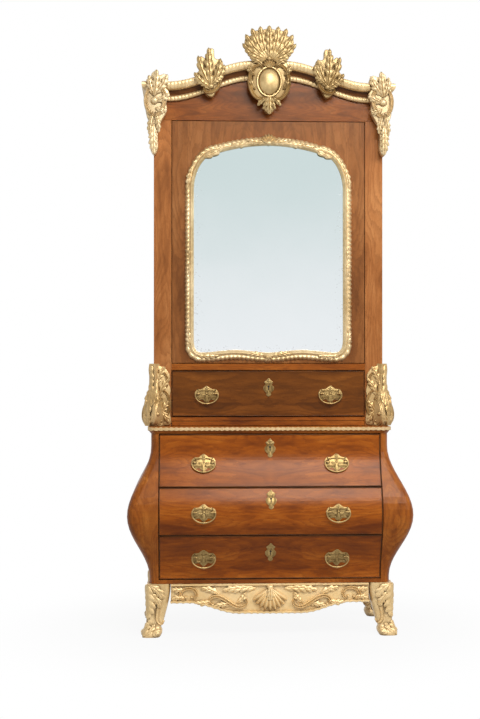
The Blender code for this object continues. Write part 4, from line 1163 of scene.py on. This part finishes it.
def cartouche_work():
    work = Carving()
    work.scroll((56, -142), (66, -36), (3.6, 3), 0.9, 8.5, 13)
    work.leaves(
        ((8, -146), (46, -180), 10, 10, 0.15, 3, 3),
        ((54, -115), (74, -68), 11, 12, -0.2, 3, 4),
        ((58, -60), (82, -22), 12, 12, -0.2, 3, 4),
        ((24, -26), (72, 2), 13, 13, 0.25, 3, 4),
        ((10, -140), (26, -194), 9, 10, -0.15, 3, 3),
    )
    for tip, width, bow in (((36, 134), 20, 0.06), ((69, 126), 20, 0.10), ((94, 102), 19, 0.14),
                            ((106, 66), 17, 0.20), ((86, 28), 15, 0.22)):
        work.leaf((8, 4), tip, width, 13, -bow, 4, 4)
    work.mirror()
    half = [(0, -208), (19, -194), (26, -162), (52, -144), (68, -104), (65, -60), (75, -30), (62, 2),
            (39, 12), (74, 28), (96, 58), (94, 88), (72, 100), (56, 118), (28, 122), (0, 128)]
    work.blank(flow(whole(half), 4, closed=True), -CREST_BLOCK, 0, CREST_EDGE, 8)
    work.leaf((0, 6), (0, 137), 21, 15, 0, 5, 3, 2)
    work.leaf((0, -134), (0, -213), 15, 13, 0, 4, 3)
    work.boss((0, -84), (43, 54), 17, columns=32)
    rim = arc((0, -84), (47, 58), 0, 360, 72)[1:]
    work.band(rim, [(-4.5, -1), (-4.5, 6), (-2, 10), (2, 10), (4.5, 6), (4.5, -1)], closed=True)
    work.shell((0, -30), 34, 75, 7, 13, base=4)
    work.boss((0, 6), (11, 9), 13, 3)
    return work


def spray_work():
    outline = [(-10, -100), (22, -82), (22, -50), (50, -38), (55, -10), (35, 8), (46, 38), (36, 60), (16, 52),
               (8, 86), (-15, 88), (-20, 52), (-47, 46), (-52, 19), (-34, 0), (-48, -29), (-32, -58)]
    work = Carving()
    work.blank(flow(outline, 4, closed=True), -CREST_BLOCK, 0, CREST_EDGE, 6)
    work.scroll((-36, -54), (10, -84), (3.6, 3.2), 1, 7.5, 12)
    work.leaves(
        ((-6, -76), (54, -36), 15, 13, 0.15, 4, 4),
        ((-6, -60), (-52, -22), 14, 13, -0.15, 4, 4),
        ((-4, -64), (61, -6), 15, 14, -0.18, 4, 4),
        ((-6, -54), (-57, 26), 15, 14, 0.18, 4, 4),
        ((-3, -58), (46, 60), 17, 14, -0.12, 4, 4),
        ((-6, -52), (-42, 50), 15, 14, 0.12, 4, 4, 2),
        ((-5, -56), (4, 92), 19, 15, -0.05, 5, 3, 3),
    )
    work.boss((-5, -60), (12, 11), 13, 4)
    return work


def corner_work():
    outline = [(-2, -290), (13, -266), (15, -214), (12, -174), (26, -140), (32, -106), (27, -80), (34, -50),
               (26, -20), (14, 6), (6, 32), (-10, 40), (-22, 24), (-46, 29), (-58, 6), (-44, -18), (-62, -46),
               (-50, -80), (-52, -114), (-36, -146), (-19, -178), (-16, -220), (-17, -264)]
    work = Carving()
    work.blank(flow(outline, 4, closed=True), -CREST_BLOCK, 0, CREST_EDGE, 6)
    work.scroll((-40, -42), (-24, -126), (3.6, 3), 0.4, 9, 13)
    work.scroll((24, -42), (19, -122), (-3.4, -3), -0.4, 8, 12)
    work.leaves(
        ((-2, -54), (-54, 26), 16, 13, 0.15, 4, 4),
        ((2, -56), (17, 22), 14, 13, -0.10, 4, 4),
        ((-2, -60), (-12, 44), 17, 15, 0.05, 4, 3, 3),
        ((-8, -80), (-62, -50), 14, 12, 0.15, 3, 4, 2),
        ((-8, -104), (-52, -118), 13, 11, 0.15, 3, 3, 2),
        ((2, -126), (16, -214), 12, 11, 0.10, 4, 3),
        ((-6, -126), (-20, -204), 12, 11, -0.10, 4, 3),
        ((-1, -170), (-1, -288), 19, 12, 0.05, 5, 3),
    )
    work.boss((-4, -78), (15, 15), 15, 3, 20)
    return work


carve("crest_cartouche_carving", cartouche_work(), on_crest(0), "case", "gilt", crest_gilt, "crest_cartouche")
for side, sign in SIDES:
    carve(f"{side}_crest_spray_carving", spray_work(), on_crest(SPRAY_X, sign),
          "case", "gilt", crest_gilt, f"{side}_crest_spray")
    carve(f"{side}_corner_scroll_carving", corner_work(), on_crest(CABINET_HALF_WIDTH, sign),
          "case", "gilt", corner_gilt, f"{side}_corner_scroll")


# Studio: a pale floor under soft light, and the camera where the photograph was taken from.
# The floor and the world show white; near the cabinet the floor still takes its shadow.
FLOOR_HALF = 60
WHITE = (1, 1, 1)
floor_mesh = bpy.data.meshes.new("studio_floor")
floor_corners = [(x * FLOOR_HALF, y * FLOOR_HALF, 0) for x, y in ((-1, -1), (1, -1), (1, 1), (-1, 1))]
floor_mesh.from_pydata(floor_corners, [], [(0, 1, 2, 3)])
floor = bpy.data.objects.new("studio_floor", floor_mesh)
bpy.context.scene.collection.objects.link(floor)
floor_paper, sockets, place = new_finish("floor_paper", Roughness=0.9, Specular_IOR_Level=0.1)
feed(sockets["Base Color"], noise(place, 6).blend((0.46, 0.46, 0.455), (0.50, 0.50, 0.495)))


def seen_directly(tree):
    """1 for what the camera sees, straight or in a mirror or through glass."""
    camera, glossy, clear = [Tap(tree).node("ShaderNodeLightPath", output=f"Is {kind} Ray")
                             for kind in ("Camera", "Glossy", "Transmission")]
    return camera.maths("MAXIMUM", glossy).maths("MAXIMUM", clear)


tree = floor_paper.node_tree
away = place.node("ShaderNodeVectorMath", {"operation": "LENGTH"}, {"Vector": place}, "Value").limit(0.3, 1.3)
share = seen_directly(tree) * (0.92 + 0.08 * away)
shine = Tap(tree).node("ShaderNodeEmission", sockets={"Color": WHITE, "Strength": 1})
lit = Tap(tree, tree.nodes["Principled BSDF"].outputs[0])
mixed = Tap(tree).node("ShaderNodeMixShader", sockets={"Fac": share, "Shader": lit, "Shader_001": shine})
feed(tree.nodes["Material Output"].inputs["Surface"], mixed)
floor_mesh.materials.append(floor_paper)

world = bpy.data.worlds.new("studio")
bpy.context.scene.world = world
world.use_nodes = True
tree = world.node_tree
tree.nodes.remove(tree.nodes["Background"])
strength = 0.27 + 0.73 * seen_directly(tree)
sky = Tap(tree).node("ShaderNodeBackground", sockets={"Color": WHITE, "Strength": strength})
feed(tree.nodes["World Output"].inputs["Surface"], sky)


def soft_box(name, place, aim, size, power):
    """A square soft lamp at a place, turned to a point."""
    lamp = bpy.data.lights.new(name, "AREA")
    lamp.shape = "SQUARE"
    lamp.size = size
    lamp.energy = power
    holder = bpy.data.objects.new(name, lamp)
    holder.location = place
    holder.rotation_euler = (Vector(aim) - Vector(place)).to_track_quat("-Z", "Y").to_euler()
    bpy.context.scene.collection.objects.link(holder)


soft_box("top_soft_box", (0.5, -3.15, 3.35), (0, -0.1, 0.8), 1.5, 100)
soft_box("key_soft_box", (2.6, -2.8, 3.2), (0, 0, 1.1), 2.2, 82)
soft_box("fill_soft_box", (-3.2, -3.4, 2.2), (0, 0, 1), 2.6, 9)

# The camera stands level, a little to the left, and its shift puts the cabinet right of the frame's middle.
CAMERA_DISTANCE = 6
CAMERA_HEIGHT = 1.0795
CAMERA_SIDE = math.radians(3)
camera_data = bpy.data.cameras.new("camera")
camera_data.lens = 74.4
camera_data.sensor_width = 36
camera_data.shift_x = -0.0384
camera = bpy.data.objects.new("camera", camera_data)
camera.location = (-CAMERA_DISTANCE * math.sin(CAMERA_SIDE), -CAMERA_DISTANCE * math.cos(CAMERA_SIDE),
                   CAMERA_HEIGHT)
camera.rotation_euler = (math.radians(90), 0, -CAMERA_SIDE)
bpy.context.scene.collection.objects.link(camera)
bpy.context.scene.camera = camera
bpy.context.scene.view_settings.view_transform = "Standard"
